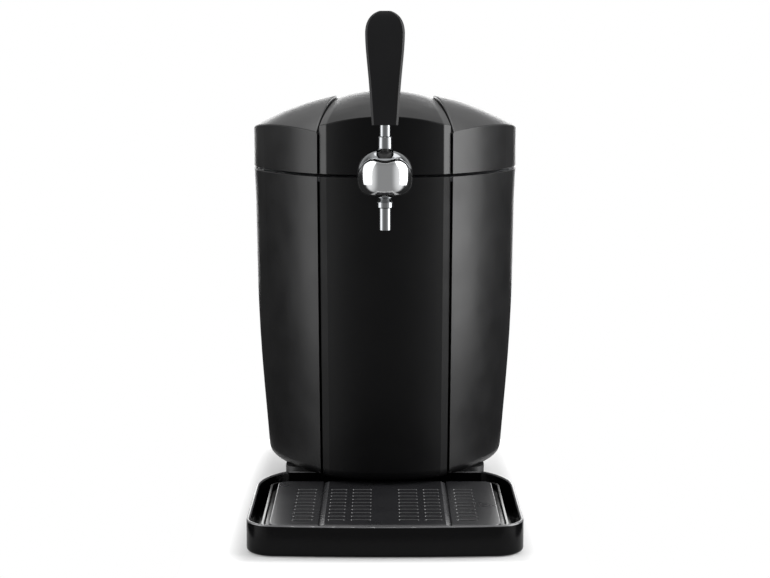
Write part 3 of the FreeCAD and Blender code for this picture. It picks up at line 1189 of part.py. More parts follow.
def build_lever():
    """Lever hub and tongue, collar, stem and handle."""
    hub = Part.makeSphere(HUB_RADIUS, Vector(0, TAP_Y, PIVOT_Z)).common(
        box(-9.0, 9.0, TAP_Y - 20, TAP_Y + 20, PIVOT_Z - 4.5, PIVOT_Z + 20))
    tongue = box(-3.0, 3.0, TAP_Y - TONGUE_HALF_THICKNESS, TAP_Y + TONGUE_HALF_THICKNESS,
                 PIVOT_Z - TONGUE_LENGTH, PIVOT_Z)
    rod = cylinder_z(4.2, PIVOT_Z, COLLAR_BOTTOM, 0, TAP_Y)
    hub = joined([hub, tongue, rod])
    hub = hub.cut(cylinder_x(PIVOT_RADIUS + RUNNING_FIT, -20, 20, TAP_Y, PIVOT_Z))
    keep("lever_hub", hub)

    collar = turned([(0, COLLAR_BOTTOM), (COLLAR_RADIUS, COLLAR_BOTTOM),
                     (COLLAR_RADIUS - 0.25, COLLAR_TOP - 0.8), (COLLAR_RADIUS - 1.0, COLLAR_TOP),
                     (0, COLLAR_TOP)], 0, TAP_Y)
    keep("lever_collar", collar)
    stud_top = HANDLE_BOTTOM + 14
    stem = turned([(0, COLLAR_TOP), (STEM_RADIUS, COLLAR_TOP), (STEM_RADIUS, HANDLE_BOTTOM),
                   (STEM_STUD, HANDLE_BOTTOM), (STEM_STUD, stud_top), (0, stud_top)], 0, TAP_Y)
    keep("lever_stem", stem)

    grip = handle_loft(HANDLE_GRIP_SECTIONS)
    crown = handle_loft(HANDLE_CROWN_SECTIONS)
    handle = grip.fuse(crown).removeSplitter()
    socket = cylinder_z(STEM_STUD + RUNNING_FIT, HANDLE_BOTTOM - 1, stud_top + 0.3, 0, TAP_Y)
    keep("tap_handle", handle.cut(socket))


def build_shank():
    """Shank through the seam, its flange, saddle and the valve plunger."""
    front = TAP_Y + CAVITY_RADIUS - 1.3
    rear = -COUPLER_RADIUS + 7.0
    shank = cylinder_y(SHANK_RADIUS, front, rear, 0, TAP_Z)
    keep("tap_shank", shank.cut(cylinder_y(SHANK_BORE, front - 1, rear + 1, 0, TAP_Z)))

    face = -BODY_FRONT - 0.3
    flange = cylinder_y(FLANGE_RADIUS, face - FLANGE_THICKNESS, face, 0, TAP_Z)
    front_edge = [edge for edge in flange.Edges if edge.BoundBox.YMax < face - FLANGE_THICKNESS + 0.1]
    flange = flange.makeFillet(1.2, front_edge)
    keep("shank_flange", flange.cut(cylinder_y(SHANK_RADIUS + RUNNING_FIT, TAP_Y, 0, 0, TAP_Z)))

    saddle_rear = -(DECK_HOLE + 1.0)
    saddle = cylinder_y(NOTCH_RADIUS - 0.15, -BODY_FRONT + 0.3, saddle_rear, 0, TAP_Z)
    saddle = saddle.common(box(-60, 60, -BODY_FRONT, 0, DECK_BOTTOM, DECK_TOP))
    keep("shank_saddle", saddle.cut(cylinder_y(SHANK_RADIUS + RUNNING_FIT, TAP_Y, 0, 0, TAP_Z)))

    plunger_front = TAP_Y + TONGUE_HALF_THICKNESS + 0.4
    plunger_rear = plunger_front + PLUNGER_LENGTH
    plunger = cylinder_y(SHANK_BORE - RUNNING_FIT, plunger_front, plunger_rear, 0, TAP_Z)
    keep("valve_plunger", plunger)


# --------------------------------------------------------------------------
# Tap kit above the keg
# --------------------------------------------------------------------------
def build_coupler():
    """Coupler on the keg with its seal and nozzle."""
    flange_top = COUPLER_BOTTOM + 5
    head = joined([cylinder_z(COUPLER_FLANGE_RADIUS, COUPLER_BOTTOM, flange_top),
                   cylinder_z(COUPLER_RADIUS, COUPLER_BOTTOM, COUPLER_TOP)])
    top_edge = [edge for edge in head.Edges if edge.BoundBox.ZMin > COUPLER_TOP - 0.1]
    head = head.makeFillet(2.5, top_edge)
    head = head.cut(cylinder_y(SHANK_RADIUS + RUNNING_FIT, -60, -COUPLER_RADIUS + 7.2, 0, TAP_Z))
    head = head.cut(cylinder_y(SHANK_BORE, -60, SHANK_BORE, 0, TAP_Z))
    head = head.cut(cylinder_z(SHANK_BORE, 0, TAP_Z))
    keep("coupler_head", head)

    seal = turned([(SHANK_BORE, COUPLER_BOTTOM), (SHANK_BORE, COUPLER_BOTTOM - 5),
                   (9.0, COUPLER_BOTTOM - 5), (10.5, COUPLER_BOTTOM - 2), (12.5, COUPLER_BOTTOM)])
    keep("coupler_seal", seal)
    nozzle = cylinder_z(SHANK_BORE - RUNNING_FIT, COUPLER_BOTTOM - NOZZLE_LENGTH, COUPLER_BOTTOM + 8)
    keep("coupler_nozzle", nozzle.cut(cylinder_z(2.6, 0, BODY_TOP)))


def build_gas():
    """Pressure regulator, its knob, cartridge sleeve and cartridge."""
    near, far = REGULATOR_ENDS
    body = cylinder_x(REGULATOR_RADIUS, near, far, REGULATOR_Y, TAP_Z)
    bridge = cylinder_y(7.0, COUPLER_RADIUS - 2, REGULATOR_Y, 0, TAP_Z)
    body = joined([body, bridge]).cut(cylinder_z(COUPLER_RADIUS + RUNNING_FIT, 0, LID_CREST_TOP))
    cartridge_end = near + 24.0
    body = body.cut(cylinder_x(CARTRIDGE_RADIUS + SEAT_GAP, near - 1, cartridge_end + SEAT_GAP,
                               REGULATOR_Y, TAP_Z))
    spindle = cylinder_x(3.0, far - 1, far + KNOB_LENGTH - 3, REGULATOR_Y, TAP_Z)
    keep("pressure_regulator", body.fuse(spindle).removeSplitter())

    knob = cylinder_x(KNOB_RADIUS, far + SEAT_GAP, far + KNOB_LENGTH, REGULATOR_Y, TAP_Z)
    grips = []
    for index in range(12):
        angle = 2 * math.pi * index / 12
        y = REGULATOR_Y + (KNOB_RADIUS + 1.2) * math.cos(angle)
        z = TAP_Z + (KNOB_RADIUS + 1.2) * math.sin(angle)
        grips.append(cylinder_x(2.6, far + 3, far + KNOB_LENGTH + 1, y, z))
    knob = knob.cut(Part.makeCompound(grips))
    knob = knob.cut(cylinder_x(3.0 + RUNNING_FIT, far - 2, far + KNOB_LENGTH - 2.8, REGULATOR_Y, TAP_Z))
    keep("regulator_knob", knob)

    cartridge_start = cartridge_end - CARTRIDGE_LENGTH
    shell = cylinder_x(CARTRIDGE_RADIUS, cartridge_start, cartridge_end - 8, REGULATOR_Y, TAP_Z)
    shell = shell.makeFillet(6.0, [e for e in shell.Edges if e.BoundBox.XMax < cartridge_start + 0.1])
    neck = Part.makeCone(CARTRIDGE_RADIUS, 4.2, 6, Vector(cartridge_end - 8, REGULATOR_Y, TAP_Z),
                         Vector(1, 0, 0))
    tip = cylinder_x(4.2, cartridge_end - 2, cartridge_end, REGULATOR_Y, TAP_Z)
    keep("gas_cartridge", joined([shell, neck, tip]))

    bore = CARTRIDGE_RADIUS + SEAT_GAP
    sleeve = cylinder_x(bore + SLEEVE_WALL, SLEEVE_END - SLEEVE_WALL, near - 0.05, REGULATOR_Y, TAP_Z)
    sleeve = sleeve.cut(cylinder_x(bore, cartridge_start - SEAT_GAP, near + 1, REGULATOR_Y, TAP_Z))
    keep("cartridge_sleeve", sleeve)


# --------------------------------------------------------------------------
# Export
# --------------------------------------------------------------------------
def export_parts():
    """Move every piece so that the origin is under the middle, and write it."""
    os.makedirs("parts", exist_ok=True)
    shift = -(TRAY_FRONT + HINGE_Y + KNUCKLE_RADIUS) / 2
    for name, shape in parts.items():
        moved = shape.copy()
        moved.translate(Vector(0, shift, 0))
        moved.exportStep(os.path.join("parts", name + ".step"))
    print("pieces", len(parts), "shift along Y", round(shift, 4))
    print("hinge axis", round(HINGE_Y + shift, 4), SEAM_Z)
    print("lever pivot", round(TAP_Y + shift, 4), PIVOT_Z)
    foot = GRID_SKIRT_WALL / 2
    print("grid pivot", round(GRID_REAR - foot + shift, 4), round(GRID_TOP - GRID_SKIRT + foot, 4))


build_front_panel()
build_body_shells()
build_rear_screws()
build_floor_and_deck()
build_lid()
build_hinge()
build_cup()
build_cooler()
build_fan()
build_ports()
build_base()
build_power_board()
build_tray()
build_grid()
build_tap_body()
build_lever()
build_shank()
build_coupler()
build_gas()
export_parts()
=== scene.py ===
"""Finishes, detailed pieces, studio and camera for a mini keg beer dispenser.

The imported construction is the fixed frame. Each sub-assembly below is a class that
dresses its pieces and builds the ones whose shape wants more than the frame gives.
"""

import logging
import math
from dataclasses import dataclass
from enum import Enum
from typing import Callable, ClassVar, Mapping, Sequence

import bmesh
import bpy
from bpy.types import Material, Mesh, Node, NodeSocket, NodeTree, Object, World
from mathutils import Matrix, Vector


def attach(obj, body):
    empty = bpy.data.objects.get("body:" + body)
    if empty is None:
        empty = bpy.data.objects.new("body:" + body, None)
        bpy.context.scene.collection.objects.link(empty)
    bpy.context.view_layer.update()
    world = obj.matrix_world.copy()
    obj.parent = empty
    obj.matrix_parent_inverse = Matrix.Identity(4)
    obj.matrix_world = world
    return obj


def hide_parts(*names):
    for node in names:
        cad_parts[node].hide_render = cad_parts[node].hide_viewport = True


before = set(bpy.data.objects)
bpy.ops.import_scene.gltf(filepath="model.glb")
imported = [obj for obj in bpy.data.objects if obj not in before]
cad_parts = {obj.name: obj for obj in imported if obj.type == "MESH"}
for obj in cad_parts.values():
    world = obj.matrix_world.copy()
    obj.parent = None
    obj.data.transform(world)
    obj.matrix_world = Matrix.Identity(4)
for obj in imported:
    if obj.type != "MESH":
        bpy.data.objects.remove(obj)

LOG = logging.getLogger("dispenser")
MM = 0.001
WHITE = (1.0, 1.0, 1.0, 1.0)
NOISE = (0.3, 0.7)             # between which nearly all values of a noise lie,
TWO_NOISES = (0.1, 0.4)        # and those of two noises multiplied
# Sockets of a Mix node, by number, because those for levels and colours share their names.
SHARE = 0
ONE_LEVEL = 2
OTHER_LEVEL = 3
ONE_COLOUR = 6
OTHER_COLOUR = 7
MIXED_LEVEL = 0
MIXED_COLOUR = 2


# ---------------------------------------------------------------- small tools

def linear(colour: str) -> tuple[float, float, float, float]:
    """Turns an sRGB hex colour into linear RGBA.

    Args:
        colour: The colour as #rrggbb.

    Returns:
        Red, green, blue and alpha, each from 0 to 1.
    """
    shares = [int(colour[i:i + 2], 16) / 255 for i in (1, 3, 5)]
    turned = [c / 12.92 if c <= 0.04045 else ((c + 0.055) / 1.055) ** 2.4 for c in shares]
    return (*turned, 1.0)


def add(tree: NodeTree, kind: str, inputs: Mapping | None = None, **settings: object) -> Node:
    """Adds one node to a tree, with its settings and links.

    Args:
        tree: The tree that takes the node.
        kind: The node's type, as Blender names it.
        inputs: Values or output sockets, by the input's name or number.
        settings: The node's own attributes.

    Returns:
        The new node.
    """
    node = tree.nodes.new(kind)
    for name, value in settings.items():
        setattr(node, name, value)
    for key, value in (inputs or {}).items():
        if isinstance(value, NodeSocket):
            tree.links.new(value, node.inputs[key])
        else:
            node.inputs[key].default_value = value
    return node


def span(value: NodeSocket, place: tuple[float, float], level: tuple[float, float]) -> dict:
    """Gives the inputs of a Map Range node.

    Args:
        value: What is turned into a level.
        place: Where the change begins and ends.
        level: What comes out before and after it.

    Returns:
        The inputs by name.
    """
    return {"Value": value, "From Min": place[0], "From Max": place[1],
            "To Min": level[0], "To Max": level[1]}


def emptied(holder: Material | World) -> NodeTree:
    """Empties the node tree of a material or world.

    Args:
        holder: The material or world.

    Returns:
        Its own node tree, without a node in it.
    """
    holder.use_nodes = True
    holder.node_tree.nodes.clear()
    return holder.node_tree


def spread(low: float, high: float, steps: int) -> list[float]:
    """Gives values at even steps from low to high, both included."""
    return [low + (high - low) * k / steps for k in range(steps + 1)]


def per_metre(size: float) -> float:
    """Gives the texture scale at which a pattern's features are size millimetres."""
    return 1.0 / (size * MM)


# ------------------------------------------------------------------- finishes

class Lay(Enum):
    """The way the fine lines of a worked metal surface run."""

    NONE = "none"
    ALONG_Y = "along Y"
    ALONG_Z = "along Z"
    TURNED = "round the piece's own upright axis"


@dataclass(frozen=True)
class Finish:
    """What every finish has: a name, a colour and a roughness."""

    name: str
    colour: str
    roughness: float
    edge: float = 0.35         # mm, the radius that moulding or tumbling leaves on an edge

    EDGE_RAYS: ClassVar[int] = 4       # that look for such an edge

    def material(self) -> Material:
        """Gives the finish's material, made on its first use."""
        return bpy.data.materials.get(self.name) or self.build()

    def build(self) -> Material:
        """Makes the material, which each kind of finish does in its own way."""
        raise NotImplementedError(self.name)

    def start(self) -> tuple[NodeTree, NodeSocket]:
        """Starts the material and gives its node tree and its Object coordinates."""
        tree = emptied(bpy.data.materials.new(self.name))
        return tree, add(tree, "ShaderNodeTexCoord").outputs["Object"]

    def corner(self, tree: NodeTree) -> NodeSocket:
        """Gives a normal that is rounded over the piece's sharp edges."""
        return add(tree, "ShaderNodeBevel", {
            "Radius": self.edge * MM}, samples=self.EDGE_RAYS).outputs["Normal"]

    def end(self, tree: NodeTree, inputs: Mapping) -> Material:
        """Closes the material with its shader.

        Args:
            tree: The material's node tree.
            inputs: Shader inputs beside the finish's own colour and roughness.

        Returns:
            The finished material.
        """
        own = {"Base Color": linear(self.colour), "Roughness": self.roughness}
        shader = add(tree, "ShaderNodeBsdfPrincipled", own | dict(inputs))
        add(tree, "ShaderNodeOutputMaterial", {"Surface": shader.outputs["BSDF"]})
        return bpy.data.materials[self.name]


@dataclass(frozen=True)
class MouldedPlastic(Finish):
    """An injection-moulded plastic with the texture of its mould."""

    ior: float = 1.53
    grain: float = 0.9         # mm, cell of the mould's texture
    depth: float = 0.010       # mm, of the texture
    drift: float = 0.04        # how far the gloss wanders over the moulding
    patch: float = 38.0        # mm, size of those patches
    shine: float = 0.5         # the shader's specular level
    other_shine: float = 0.5   # the level on the part of it that is textured otherwise

    def other(self, tree: NodeTree, place: NodeSocket) -> NodeSocket | None:
        """Gives the share of the part that is textured otherwise; no such part by default."""
        return None

    def tone(self, tree: NodeTree, place: NodeSocket,
             share: NodeSocket | None) -> tuple[float, ...] | NodeSocket:
        """Gives the colour, which is the same all over by default."""
        return linear(self.colour)

    def shininess(self, tree: NodeTree, share: NodeSocket | None) -> float | NodeSocket:
        """Gives the specular level.

        Args:
            tree: The material's node tree.
            share: The share of the part that is textured otherwise, if there is one.

        Returns:
            One level, or an output that changes with the share.
        """
        if share is None:
            return self.shine
        return add(tree, "ShaderNodeMapRange", span(
            share, (0.0, 1.0), (self.shine, self.other_shine))).outputs["Result"]

    def build(self) -> Material:
        """Makes the material: grain in the normal, slow drift in the gloss.

        Returns:
            The material.
        """
        tree, place = self.start()
        share = self.other(tree, place)
        grain = add(tree, "ShaderNodeTexNoise", {
            "Vector": place, "Scale": per_metre(self.grain), "Detail": 3.0})
        patches = add(tree, "ShaderNodeTexNoise", {
            "Vector": place, "Scale": per_metre(self.patch), "Detail": 2.0})
        gloss = add(tree, "ShaderNodeMapRange", span(
            patches.outputs["Fac"], NOISE,
            (self.roughness - self.drift, self.roughness + self.drift)))
        bump = add(tree, "ShaderNodeBump", {
            "Height": grain.outputs["Fac"], "Distance": self.depth * MM,
            "Normal": self.corner(tree)})
        return self.end(tree, {
            "Base Color": self.tone(tree, place, share), "Roughness": gloss.outputs["Result"],
            "IOR": self.ior, "Specular IOR Level": self.shininess(tree, share),
            "Normal": bump.outputs["Normal"]})


@dataclass(frozen=True)
class BandedPlastic(MouldedPlastic):
    """A moulding whose middle band is matter than its wings, widens forwards and ends."""

    band_half: float = 47.0    # mm, half width of the band at Y = 0
    band_taper: float = 0.13   # how much it widens per millimetre towards the front
    band_blur: float = 1.0     # mm to each side of its edge
    band_end: tuple[float, float] = (110.0, 180.0)   # mm, the Y between which it fades

    def other(self, tree: NodeTree, place: NodeSocket) -> NodeSocket:
        """Marks the band.

        Args:
            tree: The material's node tree.
            place: Its Object coordinates.

        Returns:
            1 inside the band's half width and ahead of its rear end, 0 elsewhere.
        """
        parts = add(tree, "ShaderNodeSeparateXYZ", {"Vector": place}).outputs
        aside = add(tree, "ShaderNodeMath", {0: parts["X"]}, operation="ABSOLUTE")
        reach = add(tree, "ShaderNodeMath", {
            0: parts["Y"], 1: self.band_taper, 2: aside.outputs["Value"]},
            operation="MULTIPLY_ADD")
        side = ((self.band_half - self.band_blur) * MM, (self.band_half + self.band_blur) * MM)
        inside = add(tree, "ShaderNodeMapRange", span(reach.outputs["Value"], side, (1.0, 0.0)))
        rear = (self.band_end[0] * MM, self.band_end[1] * MM)
        ahead = add(tree, "ShaderNodeMapRange", span(parts["Y"], rear, (1.0, 0.0)))
        return add(tree, "ShaderNodeMath", {
            0: inside.outputs["Result"], 1: ahead.outputs["Result"]},
            operation="MULTIPLY").outputs["Value"]


@dataclass(frozen=True)
class RimmedPlastic(MouldedPlastic):
    """A moulding whose rounded rims come shinier out of the tool, and carry a lighter painted
    highlight.
    """

    # A lighter grey painted on the rims, as a highlight of the light that they catch.
    painted_rim_highlight: str = "#5a5a5c"
    # The upward part of the surface's direction: a rim begins and ends where it is this.
    rim_begin: tuple[float, float] = (0.1, 0.25)
    rim_end: tuple[float, float] = (0.9, 0.97)

    def other(self, tree: NodeTree, place: NodeSocket) -> NodeSocket:
        """Marks the rims.

        Args:
            tree: The material's node tree.
            place: Its Object coordinates, which the rims don't depend on.

        Returns:
            1 on faces that lean between upright and level, 0 elsewhere.
        """
        leaning = add(tree, "ShaderNodeTexCoord").outputs["Normal"]
        up = add(tree, "ShaderNodeSeparateXYZ", {"Vector": leaning}).outputs["Z"]
        begun = add(tree, "ShaderNodeMapRange", span(up, self.rim_begin, (0.0, 1.0)))
        going = add(tree, "ShaderNodeMapRange", span(up, self.rim_end, (1.0, 0.0)))
        return add(tree, "ShaderNodeMath", {
            0: begun.outputs["Result"], 1: going.outputs["Result"]},
            operation="MULTIPLY").outputs["Value"]

    def tone(self, tree: NodeTree, place: NodeSocket, share: NodeSocket | None) -> NodeSocket:
        """Gives the colour, with a highlight painted lighter on the rims."""
        return add(tree, "ShaderNodeMix", {
            SHARE: share, ONE_COLOUR: linear(self.colour), OTHER_COLOUR: linear(self.painted_rim_highlight)},
            data_type="RGBA").outputs[MIXED_COLOUR]


@dataclass(frozen=True)
class PrintedPlastic(MouldedPlastic):
    """A moulding that is pad-printed with a ring and a bar, for off and on."""

    ink: str = "#c4c5c3"
    ring: tuple[float, float, float] = (20.4, 68.0, 1.3)     # mm: X, Z and radius
    bar: tuple[float, float, float] = (27.8, 68.0, 1.5)      # mm: X, Z and half height
    line: float = 0.5          # mm

    def tone(self, tree: NodeTree, place: NodeSocket, share: NodeSocket | None) -> NodeSocket:
        """Puts the ink on the piece's own colour.

        Args:
            tree: The material's node tree.
            place: Its Object coordinates.
            share: Not used, because the piece has one texture.

        Returns:
            The output with the colour.
        """
        parts = add(tree, "ShaderNodeSeparateXYZ", {"Vector": place}).outputs
        flat = add(tree, "ShaderNodeCombineXYZ", {"X": parts["X"], "Z": parts["Z"]})
        reach = add(tree, "ShaderNodeVectorMath", {
            0: flat.outputs["Vector"], 1: (self.ring[0] * MM, 0.0, self.ring[1] * MM)},
            operation="DISTANCE").outputs["Value"]
        marks = (
            (reach, self.ring[2], self.line / 2),
            (parts["X"], self.bar[0], self.line / 2),
            (parts["Z"], self.bar[1], self.bar[2]))
        ring, across, along = (
            add(tree, "ShaderNodeMath", {0: value, 1: middle * MM, 2: half * MM},
                operation="COMPARE").outputs["Value"] for value, middle, half in marks)
        bar = add(tree, "ShaderNodeMath", {0: across, 1: along}, operation="MULTIPLY")
        inked = add(tree, "ShaderNodeMath", {0: ring, 1: bar.outputs["Value"]}, operation="MAXIMUM")
        return add(tree, "ShaderNodeMix", {
            SHARE: inked.outputs["Value"], ONE_COLOUR: linear(self.colour),
            OTHER_COLOUR: linear(self.ink)}, data_type="RGBA").outputs[MIXED_COLOUR]


@dataclass(frozen=True)
class WorkedMetal(Finish):
    """A bare or plated metal with the marks of how it was worked."""

    lay: Lay = Lay.NONE
    pitch: float = 0.8         # mm between the lines of the lay
    run: float = 40.0          # how many times longer a line is than it is wide
    depth: float = 0.002       # mm, of the lines
    drift: float = 0.03        # how far the gloss wanders over the piece
    patch: float = 16.0        # mm, size of those patches
    axis: tuple[float, float] = (0.0, 0.0)   # metres, centre of a turned piece
    bare: float = 1.0          # share of the surface without an oxide that scatters light

    def worked(self, tree: NodeTree, place: NodeSocket) -> NodeSocket:
        """Gives the coordinates in which a plain noise becomes the lay's lines.

        Args:
            tree: The material's node tree.
            place: Its Object coordinates.

        Returns:
            The coordinates, scaled, and rolled out round the axis of a turned piece.
        """
        fine = per_metre(self.pitch)
        long = per_metre(self.pitch * self.run)
        if self.lay is Lay.TURNED:
            centred = add(tree, "ShaderNodeMapping", {
                "Vector": place, "Location": (-self.axis[0], -self.axis[1], 0.0)})
            parts = add(tree, "ShaderNodeSeparateXYZ", {"Vector": centred.outputs["Vector"]}).outputs
            flat = add(tree, "ShaderNodeCombineXYZ", {"X": parts["X"], "Y": parts["Y"]})
            radius = add(tree, "ShaderNodeVectorMath", {0: flat.outputs["Vector"]}, operation="LENGTH")
            place = add(tree, "ShaderNodeCombineXYZ", {
                "X": radius.outputs["Value"], "Z": parts["Z"]}).outputs["Vector"]
        scale = {
            Lay.NONE: (fine, fine, fine), Lay.TURNED: (fine, fine, fine),
            Lay.ALONG_Y: (fine, long, fine), Lay.ALONG_Z: (fine, fine, long)}[self.lay]
        return add(tree, "ShaderNodeVectorMath", {
            0: place, 1: scale}, operation="MULTIPLY").outputs["Vector"]

    def build(self) -> Material:
        """Makes the material: worked lines in normal and gloss, slow drift in the gloss.

        Returns:
            The material.
        """
        tree, place = self.start()
        lines = add(tree, "ShaderNodeTexNoise", {
            "Vector": self.worked(tree, place), "Scale": 1.0, "Detail": 2.0})
        patches = add(tree, "ShaderNodeTexNoise", {
            "Vector": place, "Scale": per_metre(self.patch), "Detail": 3.0})
        both = add(tree, "ShaderNodeMath", {
            0: lines.outputs["Fac"], 1: patches.outputs["Fac"]}, operation="MULTIPLY")
        gloss = add(tree, "ShaderNodeMapRange", span(
            both.outputs["Value"], TWO_NOISES,
            (max(self.roughness - self.drift, 0.0), self.roughness + self.drift)))
        bump = add(tree, "ShaderNodeBump", {
            "Height": lines.outputs["Fac"], "Distance": self.depth * MM,
            "Normal": self.corner(tree)})
        return self.end(tree, {
            "Metallic": self.bare, "Roughness": gloss.outputs["Result"],
            "Normal": bump.outputs["Normal"]})


@dataclass(frozen=True)
class BeadFoam(Finish):
    """Expanded polystyrene, steam-moulded from beads."""

    bead: float = 3.2          # mm
    depth: float = 0.35        # mm, of the creases
    softness: float = 0.15     # share of the light that enters it,
    glow: float = 4.0          # and the mm that it travels there
    # A darker colour painted into the creases between beads: painted shade.
    crease: str = "#c9c7bf"
    crown: float = 0.35        # distance from a bead's middle at which the painted shade begins,
    valley: float = 0.75       # and at which the painted shade of the crease is full

    def build(self) -> Material:
        """Makes the material: rounded beads, with shade painted darker into the crease between them.

        Returns:
            The material.
        """
        tree, place = self.start()
        beads = add(tree, "ShaderNodeTexVoronoi", {
            "Vector": place, "Scale": per_metre(self.bead)}, feature="SMOOTH_F1")
        tone = add(tree, "ShaderNodeValToRGB", {"Fac": beads.outputs["Distance"]})
        stops = ((self.colour, self.crown), (self.crease, self.valley))
        for stop, (colour, reach) in zip(tone.color_ramp.elements, stops):
            stop.position = reach
            stop.color = linear(colour)
        bump = add(tree, "ShaderNodeBump", {
            "Height": beads.outputs["Distance"], "Distance": self.depth * MM}, invert=True)
        return self.end(tree, {
            "Base Color": tone.outputs["Color"], "Normal": bump.outputs["Normal"],
            "Subsurface Weight": self.softness, "Subsurface Radius": (self.glow * MM,) * 3})


# ABS moulded in a finely spark-eroded tool: a satin black whose highlights spread softly.
# The real grain is about 0.2 mm; it is drawn at 0.9 mm, so that it shows at all.
SATIN_ABS = MouldedPlastic("abs_black_spark_eroded", "#0c0c0d", 0.36, shine=0.4)
# The same ABS from a coarser tool, on the front panel and the lid's middle band: it hardly shines.
PANEL_ABS = MouldedPlastic("abs_black_panel_coarse", "#0a0a0b", 0.44, shine=0.13)
LID_ABS = BandedPlastic("abs_black_lid_matt_band", "#0c0c0d", 0.34, shine=0.42, other_shine=0.1)
# ABS from a polished tool: near-mirror black that shows the sink of the ribs behind it. Its rims carry
# a lighter painted highlight.
GLOSS_ABS = RimmedPlastic(
    "abs_black_polished_tool", "#080809", 0.16, grain=14.0, depth=0.02, drift=0.03,
    shine=0.12, other_shine=1.0)
# Polypropylene, moulded matt: dark grey and a little waxy, with a lighter painted highlight on its
# rims.
MATT_PP = RimmedPlastic("polypropylene_dark_grey_matt", "#262628", 0.3, ior=1.49, other_shine=1.0)
# The same polypropylene where the tool's slot inserts were polished: a line of light round a slot.
SLOT_PP = MouldedPlastic("polypropylene_polished_insert", "#2c2c2e", 0.2, ior=1.49, shine=1.0)
# ABS under a soft-touch lacquer: matt, with a faint bloom at grazing angles.
SOFT_TOUCH = MouldedPlastic(
    "abs_soft_touch_lacquer", "#0f0f11", 0.44, grain=0.7, depth=0.006, shine=0.24)
# Chromium plate on polished brass, round turned parts: a mirror with two crisp bands and a
# dark middle, a little deeper in tone than the ball.
CHROME = WorkedMetal("chromium_plate_polished", "#929496", 0.05, pitch=6.0, depth=0.001, drift=0.02)
# The same plate on the cast ball, which was only tumbled before plating: a softer mirror.
CHROME_BALL = WorkedMetal(
    "chromium_plate_tumbled_casting", "#c8c9ca", 0.11, pitch=2.4, depth=0.003, drift=0.03)
# The bonnet, plated over a casting that was polished by hand: a clear, slightly wavy mirror.
CHROME_HOOD = WorkedMetal(
    "chromium_plate_hand_polished", "#9c9ea0", 0.07, pitch=7.0, depth=0.01, drift=0.02)
# Austenitic stainless steel, drawn: a soft mirror with fine lines along its length.
STAINLESS = WorkedMetal(
    "stainless_steel_drawn", "#b7b7b5", 0.2, lay=Lay.ALONG_Y, pitch=0.5, depth=0.002, drift=0.03,
    patch=60.0)
# Steel screws, zinc-plated and bright passivated: a bluish grey that is slightly patchy.
ZINC = WorkedMetal("steel_zinc_passivated", "#a9adb3", 0.34, pitch=0.9, depth=0.006, drift=0.1)
# Aluminium sheet, deep drawn, brushed on the lathe and anodised: fine rings round the chamber,
# and an oxide that keeps it pale in the depth of the cup.
SPUN_ALUMINIUM = WorkedMetal(
    "aluminium_spun_brushed", "#cfd0d1", 0.42, lay=Lay.TURNED, pitch=0.7, depth=0.004,
    drift=0.05, axis=(0.0, 0.062), bare=0.55)
# Aluminium, extruded: dull, with lines along the fins from the die.
EXTRUDED_ALUMINIUM = WorkedMetal(
    "aluminium_extruded", "#b8babc", 0.36, lay=Lay.ALONG_Z, pitch=0.6, depth=0.006, drift=0.1)
# Brass pins, nickel plated: warm bright grey.
NICKEL = WorkedMetal("nickel_plate_pins", "#c9c3b6", 0.18, lay=Lay.ALONG_Y, pitch=0.4)
# Nitrile rubber, moulded: deep matt black with a dusty bloom.
RUBBER = MouldedPlastic("nitrile_rubber_moulded", "#131313", 0.72, ior=1.52, grain=0.6, depth=0.02)
# Polystyrene, foamed in steam: off-white and soft, with a crease between its beads, where shade is
# painted darker.
FOAM = BeadFoam("polystyrene_bead_foam", "#efeee9", 0.8)
# Alumina plate, ground: chalk white, hardly any gloss.
ALUMINA = MouldedPlastic("alumina_ceramic_ground", "#e9e7e1", 0.55, ior=1.76, grain=0.3, depth=0.004)
# Polypropylene, moulded, of the inner parts: light grey with a waxy sheen.
GREY_PP = MouldedPlastic("polypropylene_grey_moulded", "#8b8d90", 0.4, ior=1.49, grain=1.1)
# ABS, moulded, of the parts inside: a plain black with a dull sheen.
INNER_ABS = MouldedPlastic("abs_black_plain_moulded", "#1b1b1c", 0.5, grain=1.2, depth=0.015)
# Nylon rocker from a polished tool: a glossy black with pale marks printed on it.
ROCKER_NYLON = PrintedPlastic("nylon_black_polished", "#0f0f10", 0.16, grain=9.0, depth=0.01)
# Nylon knob, moulded: mid grey with an even sheen.
KNOB_NYLON = MouldedPlastic("nylon_grey_moulded", "#6a6c70", 0.38)
# Acetal, turned: slightly translucent white.
ACETAL = MouldedPlastic("acetal_white_turned", "#e4e3de", 0.3, ior=1.48, grain=0.5)
# Glass-fibre board under a green solder mask: glossy and slightly uneven.
SOLDER_MASK = MouldedPlastic("fibreglass_green_solder_mask", "#1d5b35", 0.28, grain=1.6, depth=0.02)
# Phenolic and epoxy bodies of electronic parts: an even, dull black.
EPOXY = MouldedPlastic("epoxy_black_component", "#18181a", 0.45)


# ----------------------------------------------------------------- sub-assemblies

class Body(Enum):
    """The moving bodies that new pieces ride on."""

    DISPENSER = "dispenser"
    LID = "lid"
    GRID = "grid"


class Slot(Enum):
    """The names of the material slots meant for new pieces."""

    CHROME = "chrome_plate"
    BLACK = "inner_black"
    RUBBER = "rubber_black"
    GREY = "grey_plastic"
    GRID = "grid_dark_grey"


def smooth(mesh: Mesh, angle: float = 35.0) -> None:
    """Shades a mesh smooth, with creases where faces meet at more than angle degrees."""
    mesh.polygons.foreach_set("use_smooth", [True] * len(mesh.polygons))
    mesh.set_sharp_from_angle(angle=math.radians(angle))


